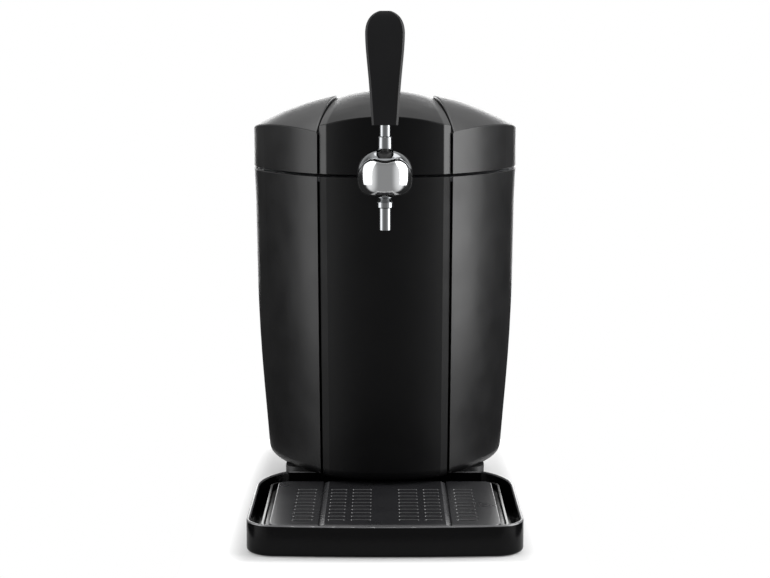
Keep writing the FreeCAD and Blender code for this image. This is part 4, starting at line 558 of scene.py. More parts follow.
def lofted(name: str, rings: Sequence[Sequence[tuple[float, float, float]]],
           closed: bool = False, angle: float = 40.0) -> Mesh:
    """Joins rings of points into a closed skin.

    Args:
        name: The mesh's name.
        rings: Rings of as many points each, in millimetres.
        closed: Whether the last ring joins the first; otherwise both are capped.
        angle: Faces that meet at more degrees than this keep a crease.

    Returns:
        The mesh, with its faces outward.
    """
    shape = bmesh.new()
    rows = [[shape.verts.new([part * MM for part in point]) for point in ring] for ring in rings]
    for one, other in zip(rows, rows[1:] + rows[:1] if closed else rows[1:]):
        for k in range(len(one)):
            m = (k + 1) % len(one)
            shape.faces.new((one[k], one[m], other[m], other[k]))
    if not closed:
        shape.faces.new(rows[0])
        shape.faces.new(rows[-1])
    bmesh.ops.recalc_face_normals(shape, faces=shape.faces)
    mesh = bpy.data.meshes.new(name)
    shape.to_mesh(mesh)
    shape.free()
    smooth(mesh, angle)
    return mesh


def gathered(name: str, meshes: Sequence[Mesh]) -> Mesh:
    """Puts several meshes into one.

    Args:
        name: The new mesh's name.
        meshes: The meshes, which stay as they are.

    Returns:
        The new mesh.
    """
    shape = bmesh.new()
    for mesh in meshes:
        shape.from_mesh(mesh)
    whole = bpy.data.meshes.new(name)
    shape.to_mesh(whole)
    shape.free()
    return whole


@dataclass(frozen=True)
class Repeat:
    """How a shape is repeated, by a step per copy or round an upright axis."""

    count: int
    start: tuple[float, float, float]                   # mm
    step: tuple[float, float, float] = (0.0, 0.0, 0.0)  # mm
    radius: float = 0.0                                 # mm
    turn: float = 0.0                                   # degrees per copy

    SOCKETS: ClassVar[tuple[tuple[str, str], ...]] = (
        ("Unit", "Object"), ("Count", "Int"), ("Start", "Vector"), ("Step", "Vector"),
        ("Radius", "Float"), ("Turn", "Float"), ("Material", "Material"))

    def tree(self) -> NodeTree:
        """Makes the node tree that repeats a unit, on its first use.

        Returns:
            The tree, whose inputs are named in SOCKETS.
        """
        known = bpy.data.node_groups.get("repeat_unit")
        if known:
            return known
        tree = bpy.data.node_groups.new("repeat_unit", "GeometryNodeTree")
        tree.interface.new_socket("Geometry", in_out="OUTPUT", socket_type="NodeSocketGeometry")
        for name, kind in self.SOCKETS:
            tree.interface.new_socket(name, in_out="INPUT", socket_type=f"NodeSocket{kind}")
        given = add(tree, "NodeGroupInput").outputs
        index = add(tree, "GeometryNodeInputIndex").outputs["Index"]
        turned = add(tree, "ShaderNodeMath", {
            0: index, 1: given["Turn"]}, operation="MULTIPLY").outputs[0]
        across = add(tree, "ShaderNodeMath", {0: turned}, operation="SINE").outputs[0]
        along = add(tree, "ShaderNodeMath", {0: turned}, operation="COSINE").outputs[0]
        forwards = add(tree, "ShaderNodeMath", {0: along, 1: -1.0}, operation="MULTIPLY").outputs[0]
        way = add(tree, "ShaderNodeCombineXYZ", {"X": across, "Y": forwards}).outputs["Vector"]
        ring = add(tree, "ShaderNodeVectorMath", {
            0: way, "Scale": given["Radius"]}, operation="SCALE").outputs["Vector"]
        moved = add(tree, "ShaderNodeVectorMath", {
            0: given["Step"], "Scale": index}, operation="SCALE").outputs["Vector"]
        placed = add(tree, "ShaderNodeVectorMath", {
            0: given["Start"], 1: moved}, operation="ADD").outputs["Vector"]
        place = add(tree, "ShaderNodeVectorMath", {
            0: placed, 1: ring}, operation="ADD").outputs["Vector"]
        points = add(tree, "GeometryNodePoints", {"Count": given["Count"], "Position": place})
        unit = add(tree, "GeometryNodeObjectInfo", {"Object": given["Unit"]})
        copies = add(tree, "GeometryNodeInstanceOnPoints", {
            "Points": points.outputs[0], "Instance": unit.outputs["Geometry"],
            "Rotation": add(tree, "ShaderNodeCombineXYZ", {"Z": turned}).outputs["Vector"]})
        real = add(tree, "GeometryNodeRealizeInstances", {"Geometry": copies.outputs["Instances"]})
        dressed = add(tree, "GeometryNodeSetMaterial", {
            "Geometry": real.outputs["Geometry"], "Material": given["Material"]})
        add(tree, "NodeGroupOutput", {"Geometry": dressed.outputs["Geometry"]})
        return tree

    def of(self, unit: Object, name: str, finish: Finish) -> Object:
        """Repeats a unit, which is used up.

        Args:
            unit: The shape, at the origin.
            name: The new object's name.
            finish: The copies' finish.

        Returns:
            An object with all copies in one plain mesh.
        """
        holder = bpy.data.objects.new(name, bpy.data.meshes.new(name))
        bpy.context.scene.collection.objects.link(holder)
        maker = holder.modifiers.new("repeat", "NODES")
        maker.node_group = self.tree()
        values = {"Unit": unit, "Count": self.count, "Start": [part * MM for part in self.start],
                  "Step": [part * MM for part in self.step], "Radius": self.radius * MM,
                  "Turn": math.radians(self.turn), "Material": finish.material()}
        for socket in maker.node_group.interface.items_tree:
            if socket.in_out == "INPUT":
                maker[socket.identifier] = values[socket.name]
        holder.data = settled(holder)
        smooth(holder.data)
        bpy.data.objects.remove(unit)
        return holder


def settled(holder: Object) -> Mesh:
    """Applies an object's modifiers, which are removed.

    Args:
        holder: The object, whose own mesh stays as it was.

    Returns:
        The plain mesh that results.
    """
    bpy.context.view_layer.update()
    shape = bpy.data.meshes.new_from_object(
        holder.evaluated_get(bpy.context.evaluated_depsgraph_get()))
    holder.modifiers.clear()
    return shape


@dataclass
class Assembly:
    """What every sub-assembly does: dress its pieces of the frame and build its own."""

    finishes: ClassVar[dict[str, Finish]] = {}
    edges: ClassVar[dict[str, float]] = {}     # mm, the radius put on a piece's sharp edges
    edges_slot: ClassVar[Slot] = Slot.BLACK    # the slot meant for those pieces
    body: ClassVar[Body] = Body.DISPENSER      # what its new pieces ride on
    sharp: ClassVar[float] = 40.0              # degrees from which an edge is rounded
    flats: ClassVar[int] = 2                   # across a rounded edge
    weld: ClassVar[float] = 0.001              # mm up to which corners are one point
    level: ClassVar[float] = 0.5               # degrees up to which neighbours are one face
    crease: ClassVar[float] = 30.0             # degrees from which shading isn't smooth

    def build(self) -> None:
        """Dresses the pieces of the frame, rounds edges, then builds the new ones."""
        for node, finish in self.finishes.items():
            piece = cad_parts[node]
            piece.data.materials.clear()
            piece.data.materials.append(finish.material())
            LOG.info("%s: %s", node, finish.name)
        for node, radius in self.edges.items():
            self.soften(node, radius)
        self.build_pieces()

    def build_pieces(self) -> None:
        """Builds the pieces that want more than the frame gives; none by default."""

    def loose(self, mesh: Mesh) -> Object:
        """Puts a mesh into the scene.

        Args:
            mesh: The mesh.

        Returns:
            An object of the mesh's name, which isn't a piece of the model yet.
        """
        holder = bpy.data.objects.new(mesh.name, mesh)
        bpy.context.scene.collection.objects.link(holder)
        return holder

    def hand_in(self, holder: Object, finish: Finish, slot: Slot,
                stands_for: Sequence[str] = ()) -> None:
        """Makes an object a piece of the model and reports it.

        Args:
            holder: The object with its finished mesh.
            finish: Its finish.
            slot: The material slot meant for it; not used.
            stands_for: The nodes of the frame that it replaces.
        """
        holder.data.materials.clear()
        holder.data.materials.append(finish.material())
        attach(holder, self.body.value)
        if stands_for:
            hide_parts(*stands_for)
        shape = bmesh.new()
        shape.from_mesh(holder.data)
        gaps = sum(not edge.is_manifold for edge in shape.edges)
        shape.free()
        LOG.info("%s: %d faces, %d open edges, %s",
                 holder.name, len(holder.data.polygons), gaps, finish.name)

    def soften(self, node: str, radius: float) -> None:
        """Replaces a node with a copy that has rounded edges.

        Args:
            node: The node of the frame.
            radius: Of the rounded edges, in millimetres.
        """
        shape = bmesh.new()
        shape.from_mesh(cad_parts[node].data)
        bmesh.ops.remove_doubles(shape, verts=shape.verts, dist=self.weld * MM)
        bmesh.ops.dissolve_limit(
            shape, angle_limit=math.radians(self.level), verts=shape.verts, edges=shape.edges)
        mesh = bpy.data.meshes.new(f"{node}_softened")
        shape.to_mesh(mesh)
        shape.free()
        holder = self.loose(mesh)
        edges = holder.modifiers.new("edges", "BEVEL")
        edges.width = radius * MM
        edges.segments = self.flats
        edges.angle_limit = math.radians(self.sharp)
        edges.limit_method = "ANGLE"
        edges.use_clamp_overlap = True
        holder.data = settled(holder)
        smooth(holder.data, self.crease)
        flat = holder.modifiers.new("flat", "WEIGHTED_NORMAL")
        flat.keep_sharp = True
        holder.data = settled(holder)
        self.hand_in(holder, self.finishes[node], self.edges_slot, (node,))


@dataclass
class Casing(Assembly):
    """Front panel, side shells, rear panel, floor and deck."""

    finishes: ClassVar[dict[str, Finish]] = {
        "front_panel": PANEL_ABS, "left_side_shell": SATIN_ABS, "right_side_shell": SATIN_ABS,
        "rear_panel": SATIN_ABS, "body_floor": INNER_ABS, "top_deck": GREY_PP,
        "rear_panel_screws": ZINC, "shank_saddle": INNER_ABS, "hinge_brackets": INNER_ABS,
        "hinge_pins": ZINC}
    edges: ClassVar[dict[str, float]] = {"hinge_brackets": 0.5}


@dataclass
class Lid(Assembly):
    """Cover, liner, foam, gasket and hinge."""

    finishes: ClassVar[dict[str, Finish]] = {
        "lid_cover": LID_ABS, "lid_liner": GREY_PP, "lid_insulation": FOAM, "lid_gasket": RUBBER,
        "lid_screws": ZINC, "lid_hinge_arms": INNER_ABS}
    edges: ClassVar[dict[str, float]] = {"lid_hinge_arms": 0.5}
    body: ClassVar[Body] = Body.LID
    arch_radius: float = 12.15             # mm, of the shank's way through the lid
    arch_wall: float = 0.7
    arch_centre: float = 338.6             # its height
    arch_foot: float = 335.3
    arch_reach: tuple[float, float] = (-80.0, -42.5)   # mm, its front and rear end
    arch_steps: int = 20

    def build_pieces(self) -> None:
        """Builds the lining of the arched way over the shank, which hides the cut foam."""
        plan = []
        for radius, way in ((self.arch_radius, 1), (self.arch_radius - self.arch_wall, -1)):
            arch = [(radius * math.cos(turn), self.arch_centre + radius * math.sin(turn))
                    for turn in spread(0.0, math.pi, self.arch_steps)]
            plan += [(radius, self.arch_foot), *arch, (-radius, self.arch_foot)][::way]
        rings = [[(x, y, z) for x, z in plan] for y in self.arch_reach]
        self.hand_in(self.loose(lofted("lid_arch_lining", rings)), RUBBER, Slot.RUBBER)


@dataclass
class Cooling(Assembly):
    """Cup, insulation and the thermoelectric unit with its fan."""

    finishes: ClassVar[dict[str, Finish]] = {
        "keg_liner": SPUN_ALUMINIUM, "insulation_jacket": FOAM, "cold_block": EXTRUDED_ALUMINIUM,
        "peltier_module": ALUMINA, "heat_sink": EXTRUDED_ALUMINIUM, "clamp_screws": ZINC,
        "fan_frame": INNER_ABS, "fan_rotor": INNER_ABS, "fan_screws": ZINC}
    edges: ClassVar[dict[str, float]] = {"fan_frame": 0.6}


@dataclass
class Tap(Assembly):
    """Chromed ball with its bonnet, lever, handle, shank and spout."""

    centre: tuple[float, float, float] = (0.0, -124.0, 338.6)     # mm
    radius: float = 25.85      # mm, half width of the ball
    half_height: float = 22.5
    crown_height: float = 23.3  # of its upper half
    fullness: float = 3.1      # power of its outline below: 2 is a ball, higher is a barrel
    fullness_above: float = 2.3
    seam_mean: float = 9.1     # mm above the centre
    seam_twice: float = 6.6    # how far the seam swings twice a turn
    seam_four: float = -3.4    # and four times a turn
    seam_gap: float = 1.9
    wall: float = 2.4
    neck: float = 5.6          # radius of the flat under the ball
    slot_half: float = 7.9     # half width of the lever's slot
    slot_front: float = 22.4   # its front end, from the lever's axis
    slot_rear: float = 9.2
    slot_floor: float = 15.4   # mm above the centre
    slot_top: float = 40.0
    bore: float = 4.1          # radius of the valve plunger's way through the rear wall
    bore_span: tuple[float, float] = (18.0, 30.0)      # mm behind the ball's axis
    lip: float = 0.4           # mm, how far the rim at the seam is rounded outside,
    lip_inside: float = 0.3    # and inside,
    lip_corner: float = 0.12   # and how deep its corner point lies
    lip_drop: float = 0.6      # mm from the rim to the inside's first point
    crown: float = 89.7        # degrees, where the bonnet's skin closes close to the axis
    around: int = 120          # faces round the ball,
    up: int = 30               # from its foot to the seam outside,
    up_inside: int = 12        # and inside
    cut_steps: int = 24        # faces round half a cutter
    ball_crease: float = 50.0  # degrees from which shading isn't smooth
    bonnet_crease: float = 40.0
    finishes: ClassVar[dict[str, Finish]] = {
        "spout_collar": CHROME, "spout_tube": CHROME, "lever_collar": CHROME,
        "lever_stem": CHROME, "shank_flange": CHROME, "tap_shank": STAINLESS,
        "lever_pin": STAINLESS, "lever_hub": INNER_ABS, "tap_handle": SOFT_TOUCH,
        "valve_plunger": ACETAL}

    def build_pieces(self) -> None:
        """Builds ball and bonnet, whose seam rises and falls round the tap."""
        ball = self.shell("tap_ball_barrel", self.ball_profile)
        self.cut(ball, self.bore_cutter(), self.ball_crease)
        self.hand_in(ball, CHROME_BALL, Slot.CHROME, ("tap_ball",))
        bonnet = self.shell("tap_bonnet_hood", self.bonnet_profile)
        self.cut(bonnet, self.slot_cutter(), self.bonnet_crease)
        self.hand_in(bonnet, CHROME_HOOD, Slot.CHROME, ("tap_bonnet",))

    def cut(self, piece: Object, cutter: Object, angle: float) -> None:
        """Takes a cutter's shape out of a piece.

        Args:
            piece: The piece, whose mesh is changed.
            cutter: The closed shape, which is removed afterwards.
            angle: Faces that meet at more degrees than this keep a crease.
        """
        cut = piece.modifiers.new("cut", "BOOLEAN")
        cut.operation = "DIFFERENCE"
        cut.solver = "EXACT"
        cut.object = cutter
        piece.data = settled(piece)
        smooth(piece.data, angle)
        bpy.data.objects.remove(cutter)

    def seam(self, turn: float) -> float:
        """Gives the seam's height at an angle from the front, in radians."""
        return (self.seam_mean + self.seam_twice * math.cos(2 * turn)
                + self.seam_four * math.cos(4 * turn))

    def power(self, height: float) -> float:
        """Gives the outline's power above or below its widest line."""
        return self.fullness_above if height > 0 else self.fullness

    def tall(self, height: float) -> float:
        """Gives the outline's full height above or below its widest line."""
        return self.crown_height if height > 0 else self.half_height

    def steepness(self, height: float, inwards: float = 0.0) -> float:
        """Gives the outline's own angle at a height, inwards mm inside the outer face."""
        share = max(-1.0, min(1.0, height / (self.tall(height) - inwards)))
        return math.asin(math.copysign(abs(share) ** (self.power(height) / 2), share))

    def outline(self, angle: float, inwards: float) -> tuple[float, float]:
        """Gives radius and height of the outline at its own angle.

        Args:
            angle: From -90 degrees at the foot to 90 degrees at the crown, in radians.
            inwards: How far inside the outer face, in millimetres.

        Returns:
            Radius and height in millimetres.
        """
        power = 2 / self.power(angle)
        wide = (self.radius - inwards) * abs(math.cos(angle)) ** power
        tall = (self.tall(angle) - inwards) * abs(math.sin(angle)) ** power
        return wide, math.copysign(tall, angle)

    def stretch(self, low: float, high: float, inwards: float, steps: int) -> list[tuple[float, float]]:
        """Gives points along the outline from one angle to another."""
        return [self.outline(angle, inwards) for angle in spread(low, high, steps)]

    def foot(self, inwards: float) -> float:
        """Gives the outline's angle at which it reaches the neck."""
        share = self.neck / (self.radius - inwards)
        return -math.acos(share ** (self.fullness / 2))

    def ball_profile(self, turn: float) -> list[tuple[float, float]]:
        """Gives the closed section of the ball: outside up, lip, inside down.

        Args:
            turn: The angle from the front round the tap's axis, in radians.

        Returns:
            Radius and height of its points, in millimetres.
        """
        top = self.seam(turn) - self.seam_gap / 2
        outer = self.stretch(self.foot(0.0), self.steepness(top - self.lip), 0.0, self.up)
        edge = outer[-1][0]
        lip = [(edge - self.lip_corner, top - self.lip_corner), (edge - self.lip, top),
               (edge - self.wall + self.lip_inside, top)]
        inner = self.stretch(self.steepness(top - self.lip_drop, self.wall),
                             self.foot(self.wall), self.wall, self.up_inside)
        return outer + lip + inner

    def bonnet_profile(self, turn: float) -> list[tuple[float, float]]:
        """Gives the closed section of the bonnet, which ends close to the axis.

        Args:
            turn: The angle from the front round the tap's axis, in radians.

        Returns:
            Radius and height of its points, in millimetres.
        """
        low = self.seam(turn) + self.seam_gap / 2
        near = math.radians(self.crown)
        outer = self.stretch(self.steepness(low + self.lip), near, 0.0, self.up)
        edge = outer[0][0]
        lip = [(edge - self.wall + self.lip_inside, low), (edge - self.lip, low),
               (edge - self.lip_corner, low + self.lip_corner)]
        inner = self.stretch(near, self.steepness(low + self.lip_drop, self.wall),
                             self.wall, self.up_inside)
        return outer + inner + lip

    def shell(self, name: str, profile: Callable[[float], list[tuple[float, float]]]) -> Object:
        """Sweeps a closed section round the tap's axis.

        Args:
            name: The new object's name.
            profile: Gives the section at an angle from the front.

        Returns:
            The object.
        """
        x0, y0, z0 = self.centre
        turns = spread(0.0, 2 * math.pi, self.around)[:-1]
        rings = [[(x0 + wide * math.sin(turn), y0 - wide * math.cos(turn), z0 + high)
                  for wide, high in profile(turn)] for turn in turns]
        return self.loose(lofted(name, rings, closed=True, angle=self.ball_crease))

    def slot_cutter(self) -> Object:
        """Makes the upright stadium that cuts the lever's slot out of the bonnet.

        Returns:
            The closed shape.
        """
        x0, y0, z0 = self.centre
        half = self.slot_half
        turns = spread(0.0, math.pi, self.cut_steps)
        plan = [(half * math.cos(turn), half - self.slot_front - half * math.sin(turn))
                for turn in turns]
        plan += [(-half * math.cos(turn), self.slot_rear - half + half * math.sin(turn))
                 for turn in turns]
        rings = [[(x0 + x, y0 + y, z0 + high) for x, y in plan]
                 for high in (self.slot_floor, self.slot_top)]
        return self.loose(lofted("slot_cutter", rings))

    def bore_cutter(self) -> Object:
        """Makes the bar that cuts the valve plunger's bore through the ball's rear wall.

        Returns:
            The closed shape.
        """
        x0, y0, z0 = self.centre
        turns = spread(0.0, 2 * math.pi, 2 * self.cut_steps)[:-1]
        rings = [[(x0 + self.bore * math.cos(turn), y0 + behind, z0 + self.bore * math.sin(turn))
                  for turn in turns] for behind in self.bore_span]
        return self.loose(lofted("bore_cutter", rings))


@dataclass
class GasKit(Assembly):
    """Coupler, regulator with its knob, and the cartridge in its sleeve."""

    finishes: ClassVar[dict[str, Finish]] = {
        "coupler_head": GREY_PP, "coupler_seal": RUBBER, "coupler_nozzle": ACETAL,
        "pressure_regulator": INNER_ABS, "regulator_knob": KNOB_NYLON,
        "cartridge_sleeve": INNER_ABS, "gas_cartridge": STAINLESS}
    edges: ClassVar[dict[str, float]] = {"cartridge_sleeve": 0.8, "pressure_regulator": 0.8}
    grips: Repeat = Repeat(30, (0.0, 62.0, 0.0), radius=16.9, turn=12.0)
    # Section of a grip rib, in mm across and away from its seat on the coupler.
    grip_section: tuple[tuple[float, float], ...] = (
        (-0.85, 0.0), (-0.7, -0.8), (-0.35, -1.2), (0.35, -1.2), (0.7, -0.8), (0.85, 0.0))
    grip_seat: float = 0.3     # mm inside the coupler's face
    grip_foot: float = 303.5   # mm, its height
    # Along the rib: mm above its foot, and the size of the section there.
    grip_sizes: tuple[tuple[float, float], ...] = (
        (0.0, 0.8), (0.6, 1.0), (18.1, 1.0), (19.9, 0.7), (20.5, 0.25))
    grip_crease: float = 60.0  # degrees from which shading isn't smooth

    def build_pieces(self) -> None:
        """Builds the grip ribs round the coupler's foot."""
        rings = [[(x * size, self.grip_seat + y * size, self.grip_foot + up)
                  for x, y in self.grip_section] for up, size in self.grip_sizes]
        unit = self.loose(lofted("grip_unit", rings, angle=self.grip_crease))
        self.hand_in(self.grips.of(unit, "coupler_grip_ribs", GREY_PP), GREY_PP, Slot.GREY)


@dataclass
class Electrics(Assembly):
    """Power board, mains inlet and switch."""

    finishes: ClassVar[dict[str, Finish]] = {
        "power_board": SOLDER_MASK, "board_components": EPOXY, "mains_inlet": INNER_ABS,
        "inlet_pins": NICKEL, "switch_frame": INNER_ABS, "switch_rocker": ROCKER_NYLON}
    edges: ClassVar[dict[str, float]] = {"mains_inlet": 0.5, "switch_frame": 0.5}


@dataclass
class Foot(Assembly):
    """Pedestal, base plate, rubber feet and the screws that hold them."""

    finishes: ClassVar[dict[str, Finish]] = {
        "pedestal": INNER_ABS, "base_plate": INNER_ABS, "rubber_feet": RUBBER, "base_screws": ZINC}
    edges: ClassVar[dict[str, float]] = {"pedestal": 1.0, "base_plate": 0.6}


@dataclass
class Tray(Assembly):
    """Drip tray and slotted grid."""

    finishes: ClassVar[dict[str, Finish]] = {"drip_tray": GLOSS_ABS, "drip_grid": MATT_PP}
    edges: ClassVar[dict[str, float]] = {"drip_grid": 0.25}
    edges_slot: ClassVar[Slot] = Slot.GRID
    body: ClassVar[Body] = Body.GRID
    slot_width: float = 5.0    # mm
    # Place across the grid of each slot at one side, and its length.
    slot_columns: tuple[tuple[float, float], ...] = ((75.5, 20.0), (44.5, 17.0), (22.0, 20.0))
    slot_rows: Repeat = Repeat(10, (0.0, -200.0, 0.0), step=(0.0, 12.8, 0.0))
    slot_steps: int = 8        # faces round its end
    # Section of the lip: how far inside the slot's wall, and the height.
    lip: tuple[tuple[float, float], ...] = (
        (-0.1, 26.2), (-0.1, 28.2), (0.05, 28.36), (0.45, 28.3), (0.75, 28.0), (0.85, 27.5),
        (0.85, 26.2))
    lip_crease: float = 60.0   # degrees from which shading isn't smooth

    def build_pieces(self) -> None:
        """Builds the lips in the grid's slots."""
        row = [self.slot_lip(side * x, length)
               for x, length in self.slot_columns for side in (-1, 1)]
        unit = self.loose(gathered("lip_unit", row))
        self.hand_in(self.slot_rows.of(unit, "grid_slot_lips", SLOT_PP), SLOT_PP, Slot.GRID)

    def slot_lip(self, x0: float, length: float) -> Mesh:
        """Makes the lip of one slot.

        Args:
            x0: Its place across the grid, in millimetres.
            length: Its slot's length, in millimetres.

        Returns:
            The lip, in the first row.
        """
        half = self.slot_width / 2
        rings = []
        for side in (1, -1):
            for turn in spread(-math.pi / 2, math.pi / 2, self.slot_steps):
                rings.append([
                    (x0 + side * (length / 2 - half + (half - inside) * math.cos(turn)),
                     side * (half - inside) * math.sin(turn), high) for inside, high in self.lip])
        return lofted("slot_lip", rings, closed=True, angle=self.lip_crease)


# --------------------------------------------------------------------- studio

@dataclass(frozen=True)
class Softbox:
    """A soft lamp that stands round the object and faces it."""

    name: str
    azimuth: float             # degrees from the camera's side, towards +X
    distance: float            # metres
    height: float              # metres, of the lamp's centre
    size: tuple[float, float]  # metres
    power: float               # watts
    aim: float = 0.25          # metres, the height that it faces

    def build(self) -> None:
        """Makes the lamp."""
        lamp = bpy.data.lights.new(self.name, "AREA")
        lamp.shape = "RECTANGLE"
        lamp.size, lamp.size_y = self.size
        lamp.energy = self.power
        holder = bpy.data.objects.new(self.name, lamp)
        turn = math.radians(self.azimuth)
        holder.location = (
            math.sin(turn) * self.distance, -math.cos(turn) * self.distance, self.height)
        towards = Vector((0.0, 0.0, self.aim)) - holder.location
        holder.rotation_euler = towards.to_track_quat("-Z", "Y").to_euler()
        holder.visible_camera = False
        bpy.context.scene.collection.objects.link(holder)


class Way(Enum):
    """The parts of a ray's direction by which the room is laid out."""

    ASIDE = "X, to either side"
    BACKWARDS = "Y"
    UP = "Z"


@dataclass(frozen=True)
class Fade:
    """How a level of the room changes gently with one part of a ray's direction."""

    way: Way
    place: tuple[float, float]     # where the change begins and ends, from -1 to 1
    level: tuple[float, float]     # what comes before and after it


@dataclass
class Studio:
    """A pale floor, soft lamps, a white backdrop and the camera."""

    camera_place: tuple[float, float, float] = (0.0, -1.8447, 0.4588)     # metres
    camera_pitch: float = 7.557       # degrees below the horizon
    lens: float = 86.55               # mm, on a sensor 36 mm wide
    ambient: float = 0.4              # what the backdrop gives as light
    # The room as metal shows it. Behind the camera it is grey, lighter towards the lamps
    # and dark high up.
    room_wings: Fade = Fade(Way.ASIDE, (0.42, 0.9), (0.36, 1.2))
    room_front: Fade = Fade(Way.BACKWARDS, (-0.15, 0.12), (1.0, 0.0))
    room_ceiling: Fade = Fade(Way.UP, (0.55, 0.8), (1.0, 0.1))
    # Behind the object it is light above the horizon. Black flags stand beside it, and
    # a skylight serves metal that faces up.
    room_back: Fade = Fade(Way.BACKWARDS, (0.2, 0.85), (0.0, 1.0))
    room_horizon: Fade = Fade(Way.UP, (-0.08, 0.12), (0.0, 0.6))
    room_skylight: Fade = Fade(Way.UP, (0.6, 0.9), (0.03, 0.9))
    floor_colour: str = "#d8d8d8"
    floor_roughness: float = 0.9
    floor_lift: float = 0.16          # what the floor under the object adds for the eye
    footprint: tuple[float, float, float] = (0.12, 0.222, -0.006)   # half sizes and middle, metres
    floor_opening: tuple[float, float] = (0.095, 0.189)             # half sizes, metres
    floor_margin: float = 0.06        # metres round the footprint
    floor_fade: float = 0.048         # metres round it, in which the shadow melts into white
    softboxes: tuple[Softbox, ...] = (
        Softbox("left_softbox", -76.0, 1.3, 0.67, (1.25, 1.8), 14.5),
        Softbox("right_softbox", 82.0, 1.3, 0.67, (1.1, 1.8), 27.5),
        Softbox("top_softbox", 165.0, 0.7, 1.9, (1.8, 0.9), 8.0),
        Softbox("rear_softbox", 180.0, 1.3, 0.34, (1.0, 0.6), 7.0),
    )

    def build(self) -> None:
        """Makes camera, lamps, backdrop and floor."""
        self.set_camera()
        for softbox in self.softboxes:
            softbox.build()
        self.set_backdrop()
        self.lay_floor()
        bpy.context.scene.view_settings.view_transform = "Standard"
        LOG.info("studio: %d softboxes, floor and backdrop", len(self.softboxes))

    def set_camera(self) -> None:
        """Stands the camera before the object, looking slightly down at it."""
        camera = bpy.data.cameras.new("camera")
        camera.lens = self.lens
        holder = bpy.data.objects.new("camera", camera)
        holder.location = self.camera_place
        holder.rotation_euler = (math.radians(90 - self.camera_pitch), 0.0, 0.0)
        bpy.context.scene.collection.objects.link(holder)
        bpy.context.scene.camera = holder

    def shows_backdrop(self, tree: NodeTree) -> tuple[NodeSocket, NodeSocket]:
        """Tells which rays show the backdrop.

        Args:
            tree: The node tree that asks.

        Returns:
            1 for camera rays, and 1 for glossy or transmission rays.
        """
        path = add(tree, "ShaderNodeLightPath").outputs
        mirrored = add(tree, "ShaderNodeMath", {
            0: path["Is Glossy Ray"], 1: path["Is Transmission Ray"]}, operation="MAXIMUM")
        return path["Is Camera Ray"], mirrored.outputs["Value"]

    def set_backdrop(self) -> None:
        """Surrounds the scene with white, which lights it less, and with a room for metal."""
        world = bpy.data.worlds.new("backdrop")
        tree = emptied(world)
        seen, mirrored = self.shows_backdrop(tree)
        light = add(tree, "ShaderNodeMix", {
            SHARE: mirrored, ONE_LEVEL: self.ambient, OTHER_LEVEL: self.room(tree)})
        level = add(tree, "ShaderNodeMix", {
            SHARE: seen, ONE_LEVEL: light.outputs[MIXED_LEVEL], OTHER_LEVEL: 1.0})
        sky = add(tree, "ShaderNodeBackground", {
            "Color": WHITE, "Strength": level.outputs[MIXED_LEVEL]})
        add(tree, "ShaderNodeOutputWorld", {"Surface": sky.outputs["Background"]})
        bpy.context.scene.world = world

    def room(self, tree: NodeTree) -> NodeSocket:
        """Lays out the room that metal shows.

        Args:
            tree: The world's node tree.

        Returns:
            The output with the room's strength.
        """
        parts = add(tree, "ShaderNodeSeparateXYZ", {
            "Vector": add(tree, "ShaderNodeTexCoord").outputs["Generated"]}).outputs
        aside = add(tree, "ShaderNodeMath", {0: parts["X"]}, operation="ABSOLUTE")
        ways = {Way.ASIDE: aside.outputs["Value"], Way.BACKWARDS: parts["Y"], Way.UP: parts["Z"]}
        fades = (self.room_wings, self.room_front, self.room_ceiling,
                 self.room_back, self.room_horizon, self.room_skylight)
        wings, front, ceiling, back, horizon, skylight = (
            add(tree, "ShaderNodeMapRange", span(ways[fade.way], fade.place, fade.level),
                interpolation_type="SMOOTHSTEP").outputs["Result"] for fade in fades)
        ahead = add(tree, "ShaderNodeMath", {0: wings, 1: front}, operation="MULTIPLY")
        behind = add(tree, "ShaderNodeMath", {
            0: back, 1: horizon, 2: skylight}, operation="MULTIPLY_ADD")
        return add(tree, "ShaderNodeMath", {
            0: ahead.outputs["Value"], 1: ceiling, 2: behind.outputs["Value"]},
            operation="MULTIPLY_ADD").outputs["Value"]

    def lay_floor(self) -> None:
        """Lays a pale floor round the object, open under its base so that light gets there."""
        mesh = bpy.data.meshes.new("floor")
        floor = bpy.data.objects.new("floor", mesh)
        shape = bmesh.new()
        across, along, middle = self.footprint
        edge = self.floor_margin
        loops = []
        for half, long in ((across + edge, along + edge), self.floor_opening):
            corners = ((-half, -long), (half, -long), (half, long), (-half, long))
            loops.append([shape.verts.new((x, middle + y, 0.0)) for x, y in corners])
        outer, inner = loops
        for k in range(4):
            m = (k + 1) % 4
            shape.faces.new((outer[k], outer[m], inner[m], inner[k]))
        shape.to_mesh(mesh)
        shape.free()
        mesh.materials.append(self.floor_paint())
        bpy.context.scene.collection.objects.link(floor)

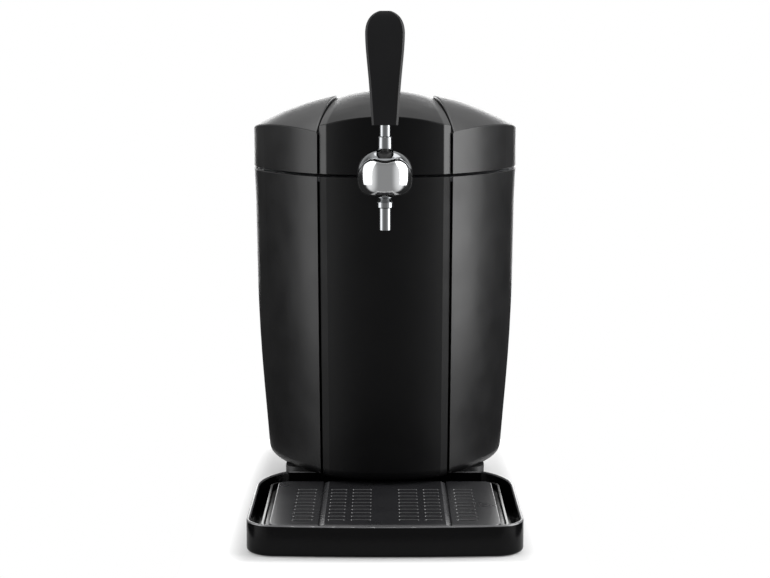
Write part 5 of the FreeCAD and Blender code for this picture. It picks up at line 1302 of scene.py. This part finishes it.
    def floor_paint(self) -> Material:
        """Makes the floor's paint: pale, lifted to white for the eye, open from below.

        Returns:
            The material.
        """
        material = bpy.data.materials.new("floor_pale_paper")
        tree = emptied(material)
        seen, _ = self.shows_backdrop(tree)
        across, along, middle = self.footprint
        place = add(tree, "ShaderNodeVectorMath", {
            0: add(tree, "ShaderNodeTexCoord").outputs["Object"], 1: (0.0, middle, 0.0)},
            operation="SUBTRACT")
        aside = add(tree, "ShaderNodeVectorMath", {0: place.outputs["Vector"]}, operation="ABSOLUTE")
        beyond = add(tree, "ShaderNodeVectorMath", {
            0: aside.outputs["Vector"], 1: (across, along, 0.0)}, operation="SUBTRACT")
        outside = add(tree, "ShaderNodeVectorMath", {
            0: beyond.outputs["Vector"], 1: (0.0, 0.0, 0.0)}, operation="MAXIMUM")
        away = add(tree, "ShaderNodeVectorMath", {0: outside.outputs["Vector"]}, operation="LENGTH")
        white = add(tree, "ShaderNodeMapRange", span(
            away.outputs["Value"], (0.0, self.floor_fade), (self.floor_lift, 1.0)),
            interpolation_type="SMOOTHSTEP")
        lift = add(tree, "ShaderNodeMath", {
            0: white.outputs["Result"], 1: seen}, operation="MULTIPLY")
        paint = add(tree, "ShaderNodeBsdfPrincipled", {
            "Base Color": linear(self.floor_colour), "Roughness": self.floor_roughness,
            "Specular IOR Level": 0.0, "Emission Color": WHITE,
            "Emission Strength": lift.outputs["Value"]})
        below = add(tree, "ShaderNodeNewGeometry").outputs["Backfacing"]
        both = add(tree, "ShaderNodeMixShader", {
            0: below, 1: paint.outputs["BSDF"],
            2: add(tree, "ShaderNodeBsdfTransparent").outputs["BSDF"]})
        add(tree, "ShaderNodeOutputMaterial", {"Surface": both.outputs["Shader"]})
        return material


ASSEMBLIES = (Casing, Lid, Cooling, Tap, GasKit, Electrics, Foot, Tray)


def main() -> None:
    """Builds the scene and reports each piece."""
    logging.basicConfig(level=logging.INFO, format="%(message)s")
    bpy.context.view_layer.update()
    Studio().build()
    for assembly in ASSEMBLIES:
        assembly().build()


if __name__ == "__main__":
    main()
